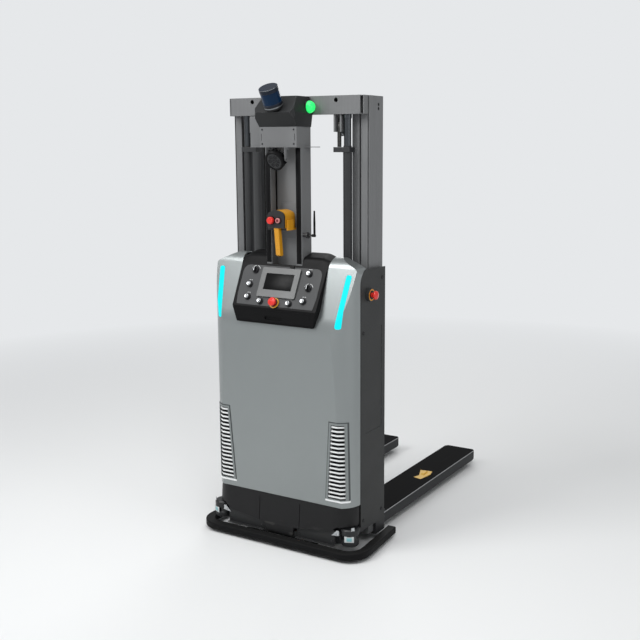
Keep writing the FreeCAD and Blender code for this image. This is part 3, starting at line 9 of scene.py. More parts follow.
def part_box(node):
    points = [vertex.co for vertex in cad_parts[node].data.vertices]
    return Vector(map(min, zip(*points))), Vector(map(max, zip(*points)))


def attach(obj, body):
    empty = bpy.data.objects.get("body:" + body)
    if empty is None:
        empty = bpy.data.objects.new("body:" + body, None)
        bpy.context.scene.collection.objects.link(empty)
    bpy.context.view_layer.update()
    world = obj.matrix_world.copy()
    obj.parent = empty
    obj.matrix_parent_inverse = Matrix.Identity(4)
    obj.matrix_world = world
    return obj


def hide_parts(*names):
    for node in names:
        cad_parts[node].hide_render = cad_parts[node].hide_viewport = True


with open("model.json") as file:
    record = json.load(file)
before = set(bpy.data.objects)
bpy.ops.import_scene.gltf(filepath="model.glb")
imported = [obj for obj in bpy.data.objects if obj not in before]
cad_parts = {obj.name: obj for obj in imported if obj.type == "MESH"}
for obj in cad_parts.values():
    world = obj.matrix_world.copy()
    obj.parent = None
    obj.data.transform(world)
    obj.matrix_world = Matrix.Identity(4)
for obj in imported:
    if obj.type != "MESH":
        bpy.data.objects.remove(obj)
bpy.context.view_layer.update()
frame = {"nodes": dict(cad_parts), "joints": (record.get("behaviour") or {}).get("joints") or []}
nodes = frame["nodes"]

MM = 0.001
FULL_TURN = 2 * math.pi
FRONT, BACK = (0, -1, 0), (0, 1, 0)

# ---- how a finish is made ----

PAINT_EDGE = 0.0004  # half the width over which one paint turns into the next
CLOUD_MM, SCUFF_MM = 130, 22  # soft patches of tone, and wear along edges


def srgb(code):
    """Linear colour of an sRGB hex value."""
    parts = [int(code[i : i + 2], 16) / 255 for i in (1, 3, 5)]
    linear = [p / 12.92 if p <= 0.04045 else ((p + 0.055) / 1.055) ** 2.4 for p in parts]
    return (*linear, 1.0)


def add(tree, kind, inputs=None, output=0, **settings):
    """Adds a shader node and gives one of its outputs; an input, by number or name, is a value or the
    socket linked to it, and settings are the node's own attributes."""
    node = tree.nodes.new(kind)
    for key, value in settings.items():
        setattr(node, key, value)
    for key, value in (inputs or {}).items():
        if isinstance(value, bpy.types.NodeSocket):
            tree.links.new(value, node.inputs[key])
        else:
            node.inputs[key].default_value = value
    return node.outputs[output]


def coordinates(tree):
    """The piece's own x, y and z, in metres."""
    spot = add(tree, "ShaderNodeTexCoord", output="Object")
    return add(tree, "ShaderNodeSeparateXYZ", {0: spot}).node.outputs


def upness(tree):
    """How far the surface faces up, from -1 to 1."""
    normal = add(tree, "ShaderNodeNewGeometry", output="Normal")
    return add(tree, "ShaderNodeSeparateXYZ", {0: normal}, 2)


def mottle(tree, size_mm, detail=2.0, stretch=(1, 1, 1)):
    """Cloudy pattern whose patches are about size_mm across, drawn out by stretch along each axis."""
    spot = add(tree, "ShaderNodeTexCoord", output="Object")
    scale = tuple(1000 / (size_mm * s) for s in stretch)
    place = add(tree, "ShaderNodeMapping", {"Vector": spot, "Scale": scale})
    return add(tree, "ShaderNodeTexNoise", {"Vector": place, "Scale": 1.0, "Detail": detail}, "Fac")


def zone(tree, *limits):
    """Mask of the area inside every limit: (socket, "over" or "under", level, half width of the edge)."""
    mask = None
    for value, side, level, *soft in limits:
        fade = (soft[0] if soft else PAINT_EDGE) * (1 if side == "over" else -1)
        inside = add(tree, "ShaderNodeMapRange", {0: value, 1: level - fade, 2: level + fade})
        if mask is not None:
            inside = add(tree, "ShaderNodeMath", {0: mask, 1: inside}, operation="MULTIPLY")
        mask = inside
    return mask


def distance_from(tree, *pairs):
    """Distance in a plane from a point; pairs are (coordinate socket, value at the point)."""
    squares = []
    for socket, value in pairs:
        apart = add(tree, "ShaderNodeMath", {0: socket, 1: value}, operation="SUBTRACT")
        squares.append(add(tree, "ShaderNodeMath", {0: apart, 1: 2.0}, operation="POWER"))
    total = add(tree, "ShaderNodeMath", {0: squares[0], 1: squares[1]}, operation="ADD")
    return add(tree, "ShaderNodeMath", {0: total}, operation="SQRT")


def finish(
    name,
    color,
    roughness,
    metallic=0.0,
    grain_mm=4.0,
    depth_mm=0.02,
    tint=0.05,
    edge_mm=0.9,
    worn="",
    wear=0.0,
    **sockets,
):
    """A coated or moulded surface: soft patches of tone and gloss, a fine texture, and softened edges
    that wear to the colour worn."""
    made = bpy.data.materials.new(name)
    made.use_nodes = True
    tree = made.node_tree
    shader = tree.nodes["Principled BSDF"]
    shader.inputs["Metallic"].default_value = metallic
    for key, value in sockets.items():
        shader.inputs[key.replace("_", " ")].default_value = value
    patch = mottle(tree, CLOUD_MM)
    grain = mottle(tree, grain_mm, 3.0)
    base = srgb(color)
    dark = tuple(c * (1 - tint) for c in base[:3]) + (1.0,)
    light = tuple(min(1.0, c * (1 + tint)) for c in base[:3]) + (1.0,)
    shift = add(tree, "ShaderNodeMapRange", {0: patch, 1: 0.3, 2: 0.7})
    tone = add(tree, "ShaderNodeMix", {0: shift, 6: dark, 7: light}, 2, data_type="RGBA")
    round_edge = add(tree, "ShaderNodeBevel", {"Radius": edge_mm / 1000}, samples=4)
    if worn:
        flat = add(tree, "ShaderNodeNewGeometry", output="Normal")
        turn = add(tree, "ShaderNodeVectorMath", {0: round_edge, 1: flat}, "Value", operation="DOT_PRODUCT")
        edge = add(tree, "ShaderNodeMapRange", {0: turn, 1: 0.985, 2: 0.86})
        worn_from, worn_to = 0.62 - 0.3 * wear, 0.72 - 0.3 * wear
        scuffs = add(tree, "ShaderNodeMapRange", {0: mottle(tree, SCUFF_MM, 4.0), 1: worn_from, 2: worn_to})
        rubbed = add(tree, "ShaderNodeMath", {0: edge, 1: scuffs}, operation="MULTIPLY")
        tone = add(tree, "ShaderNodeMix", {0: rubbed, 6: tone, 7: srgb(worn)}, 2, data_type="RGBA")
    tree.links.new(tone, shader.inputs["Base Color"])
    unevenness = add(tree, "ShaderNodeMath", {0: patch, 1: grain}, operation="ADD")
    glossy, dull = max(0.03, roughness - 0.05), roughness + 0.06
    gloss = add(tree, "ShaderNodeMapRange", {0: unevenness, 1: 0.7, 2: 1.3, 3: glossy, 4: dull})
    tree.links.new(gloss, shader.inputs["Roughness"])
    relief = {"Strength": 0.6, "Distance": depth_mm / 1000, "Height": grain, "Normal": round_edge}
    tree.links.new(add(tree, "ShaderNodeBump", relief), shader.inputs["Normal"])
    return made


def repaint(made, mask, color, roughness=None, metallic=None):
    """Covers the part of a finish where mask is 1 with another colour, gloss and metal."""
    tree = made.node_tree
    shader = tree.nodes["Principled BSDF"]
    under = shader.inputs["Base Color"].links[0].from_socket
    mixed = add(tree, "ShaderNodeMix", {0: mask, 6: under, 7: srgb(color)}, 2, data_type="RGBA")
    tree.links.new(mixed, shader.inputs["Base Color"])
    for key, value in (("Roughness", roughness), ("Metallic", metallic)):
        if value is not None:
            socket = shader.inputs[key]
            under = socket.links[0].from_socket if socket.links else socket.default_value
            mixed = add(tree, "ShaderNodeMix", {0: mask, 2: under, 3: value}, data_type="FLOAT")
            tree.links.new(mixed, socket)


# ---- how a piece is made ----


def put(shape, part, place=None):
    """Adds a finished part to a shape, in its place."""
    if place:
        bmesh.ops.transform(part, matrix=place, verts=part.verts)
    loose = bpy.data.meshes.new("part")
    part.to_mesh(loose)
    part.free()
    shape.from_mesh(loose)
    bpy.data.meshes.remove(loose)


def round_edges(part, width, segments=2):
    """Rounds every edge of a part; the width is in millimetres."""
    bmesh.ops.bevel(
        part, geom=part.edges, offset=width * MM, affect="EDGES", segments=segments, profile=0.5, material=-1
    )


def turned(shape, outline, place, steps=40, angle=FULL_TURN, close=True):
    """Spins an outline of (radius, height) in millimetres about the place's Z axis."""
    part = bmesh.new()
    corners = [part.verts.new((radius * MM, 0, height * MM)) for radius, height in outline]
    pairs = list(zip(corners, corners[1:]))
    if close:
        pairs.append((corners[-1], corners[0]))
    edges = [part.edges.new(pair) for pair in pairs]
    full = angle == FULL_TURN
    bmesh.ops.spin(
        part, geom=corners + edges, cent=(0, 0, 0), axis=(0, 0, 1), angle=angle, steps=steps, use_merge=full
    )
    if not full:
        bmesh.ops.holes_fill(part, edges=part.edges, sides=len(outline) + 1)
    bmesh.ops.remove_doubles(part, verts=part.verts, dist=1e-6)
    put(shape, part, place)


def block(shape, low, high, place=None, bevel=0.6, segments=2):
    """Box between two corners in millimetres with rounded edges."""
    part = bmesh.new()
    size = [(h - l) * MM for l, h in zip(low, high)]
    middle = [(h + l) / 2 * MM for l, h in zip(low, high)]
    bmesh.ops.create_cube(part, size=1.0, matrix=Matrix.LocRotScale(middle, None, size))
    round_edges(part, bevel, segments)
    put(shape, part, place)


def plate(shape, outline, depth, place, bevel=0.5, segments=2):
    """Flat plate: an outline of (x, y) in millimetres, raised by depth along the place's Z axis."""
    part = bmesh.new()
    face = part.faces.new([part.verts.new((x * MM, y * MM, 0)) for x, y in outline])
    raised = bmesh.ops.extrude_face_region(part, geom=[face])["geom"]
    bmesh.ops.translate(
        part, vec=(0, 0, depth * MM), verts=[g for g in raised if isinstance(g, bmesh.types.BMVert)]
    )
    round_edges(part, bevel, segments)
    put(shape, part, place)


def socket_screw(shape, place, radius, height=None):
    """Cap screw seen from outside: a rounded head round a deep socket."""
    height = height or radius * 0.9
    recess = radius * 0.5
    turned(
        shape,
        [
            (0, 0),
            (radius, 0),
            (radius, height * 0.8),
            (radius * 0.9, height),
            (recess, height),
            (recess, height * 0.35),
            (0, height * 0.3),
        ],
        place,
        steps=12,
        close=False,
    )


def piece(name, body, shape, made, crease=35):
    """Finished mesh piece: faces outward, soft where it curves, sharp where it turns."""
    bmesh.ops.recalc_face_normals(shape, faces=shape.faces)
    for face in shape.faces:
        face.smooth = True
    for edge in shape.edges:
        if len(edge.link_faces) == 2 and edge.calc_face_angle(0) > math.radians(crease):
            edge.smooth = False
    mesh = bpy.data.meshes.new(name)
    shape.to_mesh(mesh)
    shape.free()
    made_piece = bpy.data.objects.new(name, mesh)
    bpy.context.scene.collection.objects.link(made_piece)
    mesh.materials.append(made)
    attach(made_piece, body)
    return made_piece


def facing(x, y, z, direction):
    """Place at a point in millimetres whose Z axis points along direction."""
    turn = Vector(direction).to_track_quat("Z", "Y").to_matrix().to_4x4()
    return Matrix.Translation(Vector((x, y, z)) * MM) @ turn


# ---- finishes ----

# Silver metallic basecoat under satin lacquer on a moulded hood: a soft flop from light shoulders to mid
# grey flanks, with wide highlights.
silver_lacquer = finish(
    "silver_lacquer", "#8f9494", roughness=0.36, metallic=0.75, grain_mm=5.0, depth_mm=0.003, tint=0.015,
    edge_mm=1.2, Coat_Weight=0.25, Coat_Roughness=0.2,
)
# Round each vent the lacquer has painted light: painted shade over the frame, a painted shadow line in its
# outer corner and a painted highlight on its lower ledge.
VENT_FLOOR, VENT_CEILING, VENT_RIM = 0.275, 0.624, 0.013
VENT_INNER, VENT_INNER_DRIFT = 0.252, 0.024  # |x| of the frame's inner side at its foot, and its drift upwards
VENT_OUTER, VENT_OUTER_DRIFT = 0.365, 0.004
VENT_BACK = -0.66
tree = silver_lacquer.node_tree
x, y, z = coordinates(tree)
sideways = add(tree, "ShaderNodeMath", {0: x}, operation="ABSOLUTE")
rise = add(tree, "ShaderNodeMapRange", {0: z, 1: VENT_FLOOR, 2: VENT_CEILING})
inward = add(tree, "ShaderNodeMath", {0: rise, 1: VENT_INNER_DRIFT}, operation="MULTIPLY")
inner_edge = add(tree, "ShaderNodeMath", {0: VENT_INNER, 1: inward}, operation="ADD")
outward = add(tree, "ShaderNodeMath", {0: rise, 1: VENT_OUTER_DRIFT}, operation="MULTIPLY")
outer_edge = add(tree, "ShaderNodeMath", {0: VENT_OUTER, 1: outward}, operation="SUBTRACT")
from_inner = add(tree, "ShaderNodeMath", {0: sideways, 1: inner_edge}, operation="SUBTRACT")
from_outer = add(tree, "ShaderNodeMath", {0: outer_edge, 1: sideways}, operation="SUBTRACT")
from_top = add(tree, "ShaderNodeMath", {0: VENT_CEILING + VENT_RIM, 1: z}, operation="SUBTRACT")
from_floor = add(tree, "ShaderNodeMath", {0: z, 1: VENT_FLOOR - VENT_RIM}, operation="SUBTRACT")
from_sides = add(tree, "ShaderNodeMath", {0: from_inner, 1: from_outer}, operation="MINIMUM")
from_border = add(tree, "ShaderNodeMath", {0: from_sides, 1: from_top}, operation="MINIMUM")
frame_area = [(from_border, "over", -0.0012), (from_floor, "over", -0.0005), (y, "under", VENT_BACK)]
on_frame = zone(tree, *frame_area)
frame_shadow_line = zone(tree, *frame_area, (from_border, "under", 0.0028, 0.0008))
painted_ledge_highlight = zone(tree, *frame_area, (from_floor, "under", 0.0085, 0.0015))
# Painted shade over the frame, then a painted shadow along its outer corner and a painted highlight on its
# ledge.
painted_frame_shade = add(tree, "ShaderNodeMath", {0: on_frame, 1: 0.35}, operation="MULTIPLY")
repaint(silver_lacquer, painted_frame_shade, "#6f7474")
painted_frame_shadow = add(tree, "ShaderNodeMath", {0: frame_shadow_line, 1: 0.8}, operation="MULTIPLY")
repaint(silver_lacquer, painted_frame_shadow, "#34383a")
repaint(silver_lacquer, painted_ledge_highlight, "#f2f4f4", 0.3, 0.2)

# Charcoal fine-texture powder coat on folded steel covers, with a painted shadow in black along the front edge
# where the cover meets the hood; the emergency stop's collar is yellow ABS round a black seat.
charcoal_powder = finish(
    "charcoal_powder", "#2f3030", roughness=0.55, grain_mm=5.0, depth_mm=0.03, worn="#5c5e60", wear=0.5,
    Specular_IOR_Level=0.3,
)
COLLAR_INNER, COLLAR_OUTER = 0.0205, 0.0262
tree = charcoal_powder.node_tree
stop_low, stop_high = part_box("side_estop_right")
x, y, z = coordinates(tree)
from_stop = distance_from(tree, (y, (stop_low.y + stop_high.y) / 2), (z, (stop_low.z + stop_high.z) / 2))
sideways = add(tree, "ShaderNodeMath", {0: x}, operation="ABSOLUTE")
proud = (sideways, "over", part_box("front_shell")[1].x + 0.0008)
collar = zone(tree, (from_stop, "under", COLLAR_OUTER), proud, (from_stop, "over", COLLAR_INNER))
repaint(charcoal_powder, collar, "#d8941a", 0.4)
repaint(charcoal_powder, zone(tree, (from_stop, "under", COLLAR_INNER), proud), "#121213", 0.5)
# Painted shadow: a black band along the front edge, where the cover meets the hood.
painted_gap_shadow = zone(tree, (y, "under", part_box("side_panel_right")[0].y + 0.0045, 0.0008))
repaint(charcoal_powder, painted_gap_shadow, "#060606", 0.7)

# Grey two-pack enamel sprayed on rolled mast sections: faint rolling marks run up the sections.
mast_enamel = finish(
    "mast_enamel", "#6a6b6c", roughness=0.46, metallic=0.05, grain_mm=6.0, tint=0.04, edge_mm=1.0,
    worn="#97989a", wear=0.5,
)
tree = mast_enamel.node_tree
streaks = mottle(tree, 9, 2.0, (1, 1, 40))
marks = add(tree, "ShaderNodeMapRange", {0: streaks, 1: 0.45, 2: 0.8, 4: 0.3})
repaint(mast_enamel, marks, "#545556")

# Black chassis paint on welded plate, a little dusty where it faces up.
chassis_paint = finish(
    "chassis_paint", "#202123", roughness=0.52, metallic=0.05, grain_mm=7.0, depth_mm=0.06, tint=0.1,
    edge_mm=1.2, worn="#4d4e50", wear=0.5,
)
tree = chassis_paint.node_tree
lighter_tone = add(tree, "ShaderNodeMapRange", {0: upness(tree), 1: 0.75, 2: 1.0, 4: 0.25})
repaint(chassis_paint, lighter_tone, "#57544e")

# Fine-grained black ABS, moulded in a spark-eroded tool: even, faintly soft highlights.
black_abs = finish(
    "black_abs", "#0b0b0c", roughness=0.46, grain_mm=3.5, depth_mm=0.04, tint=0.06, edge_mm=1.0,
    Specular_IOR_Level=0.12,
)

# Dark grey grained ABS of the bumper skirt, scuffed along its lower edge.
skirt_abs = finish(
    "skirt_abs", "#171718", roughness=0.45, depth_mm=0.05, tint=0.06, edge_mm=1.1, worn="#3c3c3d", wear=0.4,
    Specular_IOR_Level=0.25,
)
tree = skirt_abs.node_tree
x, y, z = coordinates(tree)
rubs = add(tree, "ShaderNodeMapRange", {0: mottle(tree, 16, 4.0, (6, 6, 1)), 1: 0.58, 2: 0.66, 4: 0.45})
near_floor = zone(tree, (z, "under", 0.118, 0.03))
low_scuffs = add(tree, "ShaderNodeMath", {0: near_floor, 1: rubs}, operation="MULTIPLY")
repaint(skirt_abs, low_scuffs, "#4b4a48", 0.7)

# Dark grey sheet-metal hood over the sensors, leather-grain coated.
hood_paint = finish(
    "hood_paint", "#1b1c1d", roughness=0.48, depth_mm=0.04, edge_mm=1.1, worn="#7c7e80", wear=0.8,
    Specular_IOR_Level=0.3,
)

# Polyester film on the instrument panel: matt mid grey.
panel_film = finish(
    "panel_film", "#3f4041", roughness=0.5, grain_mm=3.0, depth_mm=0.01, tint=0.03, edge_mm=0.8,
    Specular_IOR_Level=0.3,
)

# Cast aluminium bezel of the screen, painted satin grey.
bezel_paint = finish(
    "bezel_paint", "#5a5b5b", roughness=0.42, metallic=0.15, grain_mm=3.0, depth_mm=0.01, tint=0.03,
    worn="#8a8b8c", wear=0.5,
)

# Etched glass over an unlit display: near black, with one soft reflection.
display_glass = finish(
    "display_glass", "#0a0a0b", roughness=0.3, grain_mm=20.0, depth_mm=0.0, tint=0.1, edge_mm=0.4,
    Specular_IOR_Level=0.1,
)

# Hard chrome, ground and polished on the piston rods: a dark mirror that streaks softly.
hard_chrome = finish(
    "hard_chrome", "#4b4e51", roughness=0.34, metallic=1.0, grain_mm=3.0, depth_mm=0.003, edge_mm=0.6
)

# Polished nickel plate on the push buttons and the selectors' pointers.
nickel_plate = finish(
    "nickel_plate", "#a3a5a7", roughness=0.2, metallic=1.0, grain_mm=3.0, depth_mm=0.002, tint=0.04,
    edge_mm=0.5,
)

# Leaf chain, oiled: link plates and pins follow each other every 19 mm, in rows 4 mm wide, with dark gaps.
CHAIN_PITCH, CHAIN_ROW = 0.01905, 0.004
oiled_chain = finish(
    "oiled_chain", "#454543", roughness=0.4, metallic=0.85, grain_mm=3.0, depth_mm=0.04, tint=0.2,
    edge_mm=0.5,
)
tree = oiled_chain.node_tree
x, y, z = coordinates(tree)
links = add(tree, "ShaderNodeMath", {0: z, 1: CHAIN_PITCH}, operation="DIVIDE")
step = add(tree, "ShaderNodeMath", {0: links}, operation="FRACT")
off_middle = add(tree, "ShaderNodeMath", {0: step, 1: 0.5}, operation="SUBTRACT")
waist = add(tree, "ShaderNodeMath", {0: off_middle}, operation="ABSOLUTE")
rows = add(tree, "ShaderNodeMath", {0: x, 1: CHAIN_ROW}, operation="DIVIDE")
row = add(tree, "ShaderNodeMath", {0: rows}, operation="FRACT")
between_links = add(tree, "ShaderNodeMapRange", {0: waist, 1: 0.4, 2: 0.47})
between_rows = add(tree, "ShaderNodeMapRange", {0: row, 1: 0.78, 2: 0.86})
gap = add(tree, "ShaderNodeMath", {0: between_links, 1: between_rows}, operation="MAXIMUM")
repaint(oiled_chain, gap, "#111110", 0.6, 0.2)

# Zinc plate, blue passivated: cool bright steel with a faint spangle.
zinc_plate = finish(
    "zinc_plate", "#85888b", roughness=0.34, metallic=0.9, grain_mm=7.0, depth_mm=0.01, tint=0.12,
    edge_mm=0.7,
)

# Natural anodised aluminium brackets: satin, pale.
anodised_aluminium = finish(
    "anodised_aluminium", "#b9bcbe", roughness=0.38, metallic=0.7, grain_mm=5.0, depth_mm=0.01, tint=0.06,
    edge_mm=0.8,
)

# Mid grey powder coat on the column and the sensor box; inside the column's channel a paler grey is painted
# as light filling the channel, and the aerial's socket is black.
column_powder = finish(
    "column_powder", "#68696a", roughness=0.48, grain_mm=5.0, tint=0.04, edge_mm=1.0, worn="#9b9c9d",
    wear=0.5,
)
tree = column_powder.node_tree
column_low, column_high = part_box("column")
column_half = -column_low.x
x, y, z = coordinates(tree)
sideways = add(tree, "ShaderNodeMath", {0: x}, operation="ABSOLUTE")
# Painted light: the inside of the channel is painted paler.
painted_channel_light = zone(
    tree,
    (y, "over", column_low.y + 0.0055),
    (sideways, "under", column_half - 0.0055),
    (z, "under", column_high.z),
)
repaint(column_powder, painted_channel_light, "#858687", 0.5)
aerial_socket = zone(tree, (x, "over", column_half + 0.0004), (z, "under", 1.5))
repaint(column_powder, aerial_socket, "#19191a", 0.45)

# Fork blades: near black where they face up, scratched by pallets along their length, grey flanks, and a
# painted highlight in a band under the top edge.
fork_enamel = finish(
    "fork_enamel", "#3a3b3c", roughness=0.5, metallic=0.1, grain_mm=6.0, depth_mm=0.03, tint=0.08,
    edge_mm=3.0, worn="#b4b5b6", wear=1.2, Specular_IOR_Level=0.06,
)
tree = fork_enamel.node_tree
up = upness(tree)
top = add(tree, "ShaderNodeMapRange", {0: up, 1: 0.7, 2: 0.9})
repaint(fork_enamel, top, "#040405", 0.75, 0.0)
scratches = add(tree, "ShaderNodeMapRange", {0: mottle(tree, 7, 3.0, (1, 45, 1)), 1: 0.66, 2: 0.72, 4: 0.6})
scratched = add(tree, "ShaderNodeMath", {0: top, 1: scratches}, operation="MULTIPLY")
repaint(fork_enamel, scratched, "#121213", 0.6, 0.0)
x, y, z = coordinates(tree)
# Painted highlight: a pale band on the flanks just under the top edge.
painted_rim_band = zone(tree, (z, "over", 0.0825), (z, "under", 0.0878), (up, "under", 0.7, 0.05))
painted_rim_highlight = add(tree, "ShaderNodeMath", {0: painted_rim_band, 1: 0.75}, operation="MULTIPLY")
repaint(fork_enamel, painted_rim_highlight, "#b9babb", 0.45)

# White ABS louvre slats: a bright nose on each, with painted shade on top and beneath.
SLATS = 18
white_abs = finish(
    "white_abs", "#eceeee", roughness=0.3, grain_mm=3.0, depth_mm=0.005, tint=0.02, edge_mm=1.6
)
tree = white_abs.node_tree
x, y, z = coordinates(tree)
climb = add(tree, "ShaderNodeMath", {0: z, 1: VENT_FLOOR}, operation="SUBTRACT")
slat = add(tree, "ShaderNodeMath", {0: climb, 1: (VENT_CEILING - VENT_FLOOR) / SLATS}, operation="DIVIDE")
in_slat = add(tree, "ShaderNodeMath", {0: slat}, operation="FRACT")
# Painted shade on the slats' top faces and lower parts.
on_top = add(tree, "ShaderNodeMapRange", {0: upness(tree), 1: 0.45, 2: 0.75})
beneath = add(tree, "ShaderNodeMapRange", {0: in_slat, 1: 0.42, 2: 0.3})
shade = add(tree, "ShaderNodeMath", {0: on_top, 1: beneath}, operation="MAXIMUM")
painted_slat_shade = add(tree, "ShaderNodeMath", {0: shade, 1: 0.92}, operation="MULTIPLY")
repaint(white_abs, painted_slat_shade, "#17191a")

# Open-cell filter foam behind the slats, black: it takes nearly all the light.
filter_foam = finish(
    "filter_foam", "#0a0a0b", roughness=0.95, grain_mm=3.0, depth_mm=0.6, tint=0.3, edge_mm=0.5
)

# Infrared-clear polycarbonate window: deep blue under a satin gloss.
blue_polycarbonate = finish(
    "blue_polycarbonate", "#04233f", roughness=0.2, grain_mm=30.0, depth_mm=0.0, tint=0.1, edge_mm=0.5,
    Specular_IOR_Level=0.15,
)

# Lidar housing: navy anodised aluminium with a bright foot ring in a black seal.
LIDAR_TILT = math.radians(28)
navy_anodised = finish(
    "navy_anodised", "#081425", roughness=0.34, metallic=0.1, depth_mm=0.005, tint=0.06, worn="#5d6a80",
    wear=0.6, Specular_IOR_Level=0.3,
)
tree = navy_anodised.node_tree
window_low, window_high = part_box("lidar_window")
lidar_axis = Vector((0, -math.sin(LIDAR_TILT), math.cos(LIDAR_TILT)))
lidar_foot = (window_low + window_high) / 2 - lidar_axis * 0.051
x, y, z = coordinates(tree)
forward = add(tree, "ShaderNodeMath", {0: y, 1: lidar_foot.y}, operation="SUBTRACT")
forward = add(tree, "ShaderNodeMath", {0: forward, 1: lidar_axis.y}, operation="MULTIPLY")
upward = add(tree, "ShaderNodeMath", {0: z, 1: lidar_foot.z}, operation="SUBTRACT")
upward = add(tree, "ShaderNodeMath", {0: upward, 1: lidar_axis.z}, operation="MULTIPLY")
along = add(tree, "ShaderNodeMath", {0: forward, 1: upward}, operation="ADD")
repaint(navy_anodised, zone(tree, (along, "under", 0.017)), "#0d0d0e", 0.5, 0.0)
foot_ring = zone(tree, (along, "under", 0.0125), (along, "over", 0.0075))
repaint(navy_anodised, foot_ring, "#7d8083", 0.35, 0.8)

# Yellow ABS of the remote; the front of its head is a black inlay.
yellow_abs = finish("yellow_abs", "#cf9016", roughness=0.42, grain_mm=3.0, tint=0.04, edge_mm=1.2)
tree = yellow_abs.node_tree
head_low, head_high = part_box("pendant")
x, y, z = coordinates(tree)
inlay = zone(tree, (y, "under", head_low.y + 0.008), (z, "over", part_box("pendant_stop")[0].z - 0.018))
repaint(yellow_abs, inlay, "#1a1a1b", 0.4)

# Yellow moulding of the stop collars.
collar_yellow = finish(
    "collar_yellow", "#cf9a24", roughness=0.4, grain_mm=3.0, depth_mm=0.01, tint=0.04, edge_mm=0.8
)

# Yellow chlorinated-rubber paint on the pallet flap, rubbed pale by pallets.
flap_yellow = finish(
    "flap_yellow", "#e2b64c", roughness=0.5, grain_mm=6.0, depth_mm=0.03, tint=0.1, edge_mm=1.0,
    worn="#8e8a80", wear=0.8,
)

# Red ABS mushroom caps: saturated, softly glossy.
red_abs = finish(
    "red_abs", "#d8261d", roughness=0.32, grain_mm=3.0, depth_mm=0.005, tint=0.04, Coat_Weight=0.3
)

# Pink silicone cap over the enable key, dark red at its middle.
pink_silicone = finish("pink_silicone", "#b77878", roughness=0.5, grain_mm=3.0, depth_mm=0.01, edge_mm=0.8)
tree = pink_silicone.node_tree
key_low, key_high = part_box("pendant_enable")
x, y, z = coordinates(tree)
from_key = distance_from(tree, (x, (key_low.x + key_high.x) / 2), (z, (key_low.z + key_high.z) / 2))
repaint(pink_silicone, zone(tree, (from_key, "under", 0.0065, 0.001)), "#5d1018", 0.4)

# Moulded black rubber, slightly chalky, lighter where it faces up.
moulded_rubber = finish(
    "moulded_rubber", "#131314", roughness=0.6, grain_mm=5.0, depth_mm=0.08, tint=0.08, edge_mm=1.6,
    worn="#2c2d2e", wear=0.5, Specular_IOR_Level=0.1,
)
tree = moulded_rubber.node_tree
lighter_tone = add(tree, "ShaderNodeMapRange", {0: upness(tree), 1: 0.6, 2: 0.95, 4: 0.8})
repaint(moulded_rubber, lighter_tone, "#1e1e1e")
chalk = add(tree, "ShaderNodeMapRange", {0: mottle(tree, 45, 4.0), 1: 0.55, 2: 0.75, 4: 0.3})
repaint(moulded_rubber, chalk, "#262523")

# Cast polyurethane tyre on an iron hub: brown tread, grey painted centre.
brown_polyurethane = finish(
    "brown_polyurethane", "#7a3b1c", roughness=0.5, grain_mm=6.0, depth_mm=0.05, tint=0.1, edge_mm=1.5
)
tree = brown_polyurethane.node_tree
wheel_low, wheel_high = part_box("drive_wheel")
x, y, z = coordinates(tree)
from_axle = distance_from(tree, (y, (wheel_low.y + wheel_high.y) / 2), (z, (wheel_low.z + wheel_high.z) / 2))
repaint(brown_polyurethane, zone(tree, (from_axle, "under", 0.09)), "#4c4e50", 0.5, 0.6)

# Grey polyurethane of casters and load rollers, rolled dull, with floor dust in it.
grey_polyurethane = finish(
    "grey_polyurethane", "#3d3f42", roughness=0.58, grain_mm=6.0, depth_mm=0.06, tint=0.12, edge_mm=1.5
)
tree = grey_polyurethane.node_tree
lighter_tone = add(tree, "ShaderNodeMapRange", {0: mottle(tree, 14, 4.0), 1: 0.55, 2: 0.7, 4: 0.4})
repaint(grey_polyurethane, lighter_tone, "#5a564e")

# Cyan light guide, lit evenly from inside.
cyan_guide = finish(
    "cyan_guide", "#0b5f66", roughness=0.4, depth_mm=0.0, tint=0.03, edge_mm=0.6, Specular_IOR_Level=0.1
)
shader = cyan_guide.node_tree.nodes["Principled BSDF"]
shader.inputs["Emission Color"].default_value = srgb("#06f4fa")
shader.inputs["Emission Strength"].default_value = 0.9

# Green beacon dome, lit from inside, on a black base.
green_dome = finish("green_dome", "#1fae50", roughness=0.3, depth_mm=0.0, tint=0.03, edge_mm=0.6)
tree = green_dome.node_tree
shader = tree.nodes["Principled BSDF"]
dome_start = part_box("signal_beacon")[0].x + 0.012
x, y, z = coordinates(tree)
repaint(green_dome, zone(tree, (x, "under", dome_start)), "#1b1b1d", 0.5)
tree.links.new(zone(tree, (x, "over", dome_start)), shader.inputs["Emission Strength"])
shader.inputs["Emission Color"].default_value = srgb("#25e36c")

# Scanner: black cast housing with a glossy infrared window round it.
scanner_black = finish(
    "scanner_black", "#17181a", roughness=0.42, metallic=0.1, depth_mm=0.04, tint=0.08, worn="#3f4143",
    wear=0.5,
)
tree = scanner_black.node_tree
scan_low, scan_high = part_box("safety_scanners")
x, y, z = coordinates(tree)
scan_window = zone(tree, (z, "over", scan_low.z + 0.031), (z, "under", scan_low.z + 0.047))
repaint(scanner_black, scan_window, "#0b0c0f", 0.08)

# White screen print on the panel.
white_print = finish("white_print", "#c9cbcb", roughness=0.55, grain_mm=2.0, depth_mm=0.0, edge_mm=0.1)

# Blackened steel of the screws, control rings, selectors and caster forks, rubbed bright on its edges.
black_oxide = finish(
    "black_oxide", "#1c1c1e", roughness=0.4, metallic=0.7, grain_mm=3.0, depth_mm=0.01, tint=0.15,
    edge_mm=0.4, worn="#5a5b5d", wear=0.7,
)

# Bare glass of the lamp over its reflector.
lamp_glass = finish(
    "lamp_glass", "#131517", roughness=0.1, grain_mm=20.0, depth_mm=0.0, tint=0.1, edge_mm=0.4,
    Specular_IOR_Level=0.4,
)

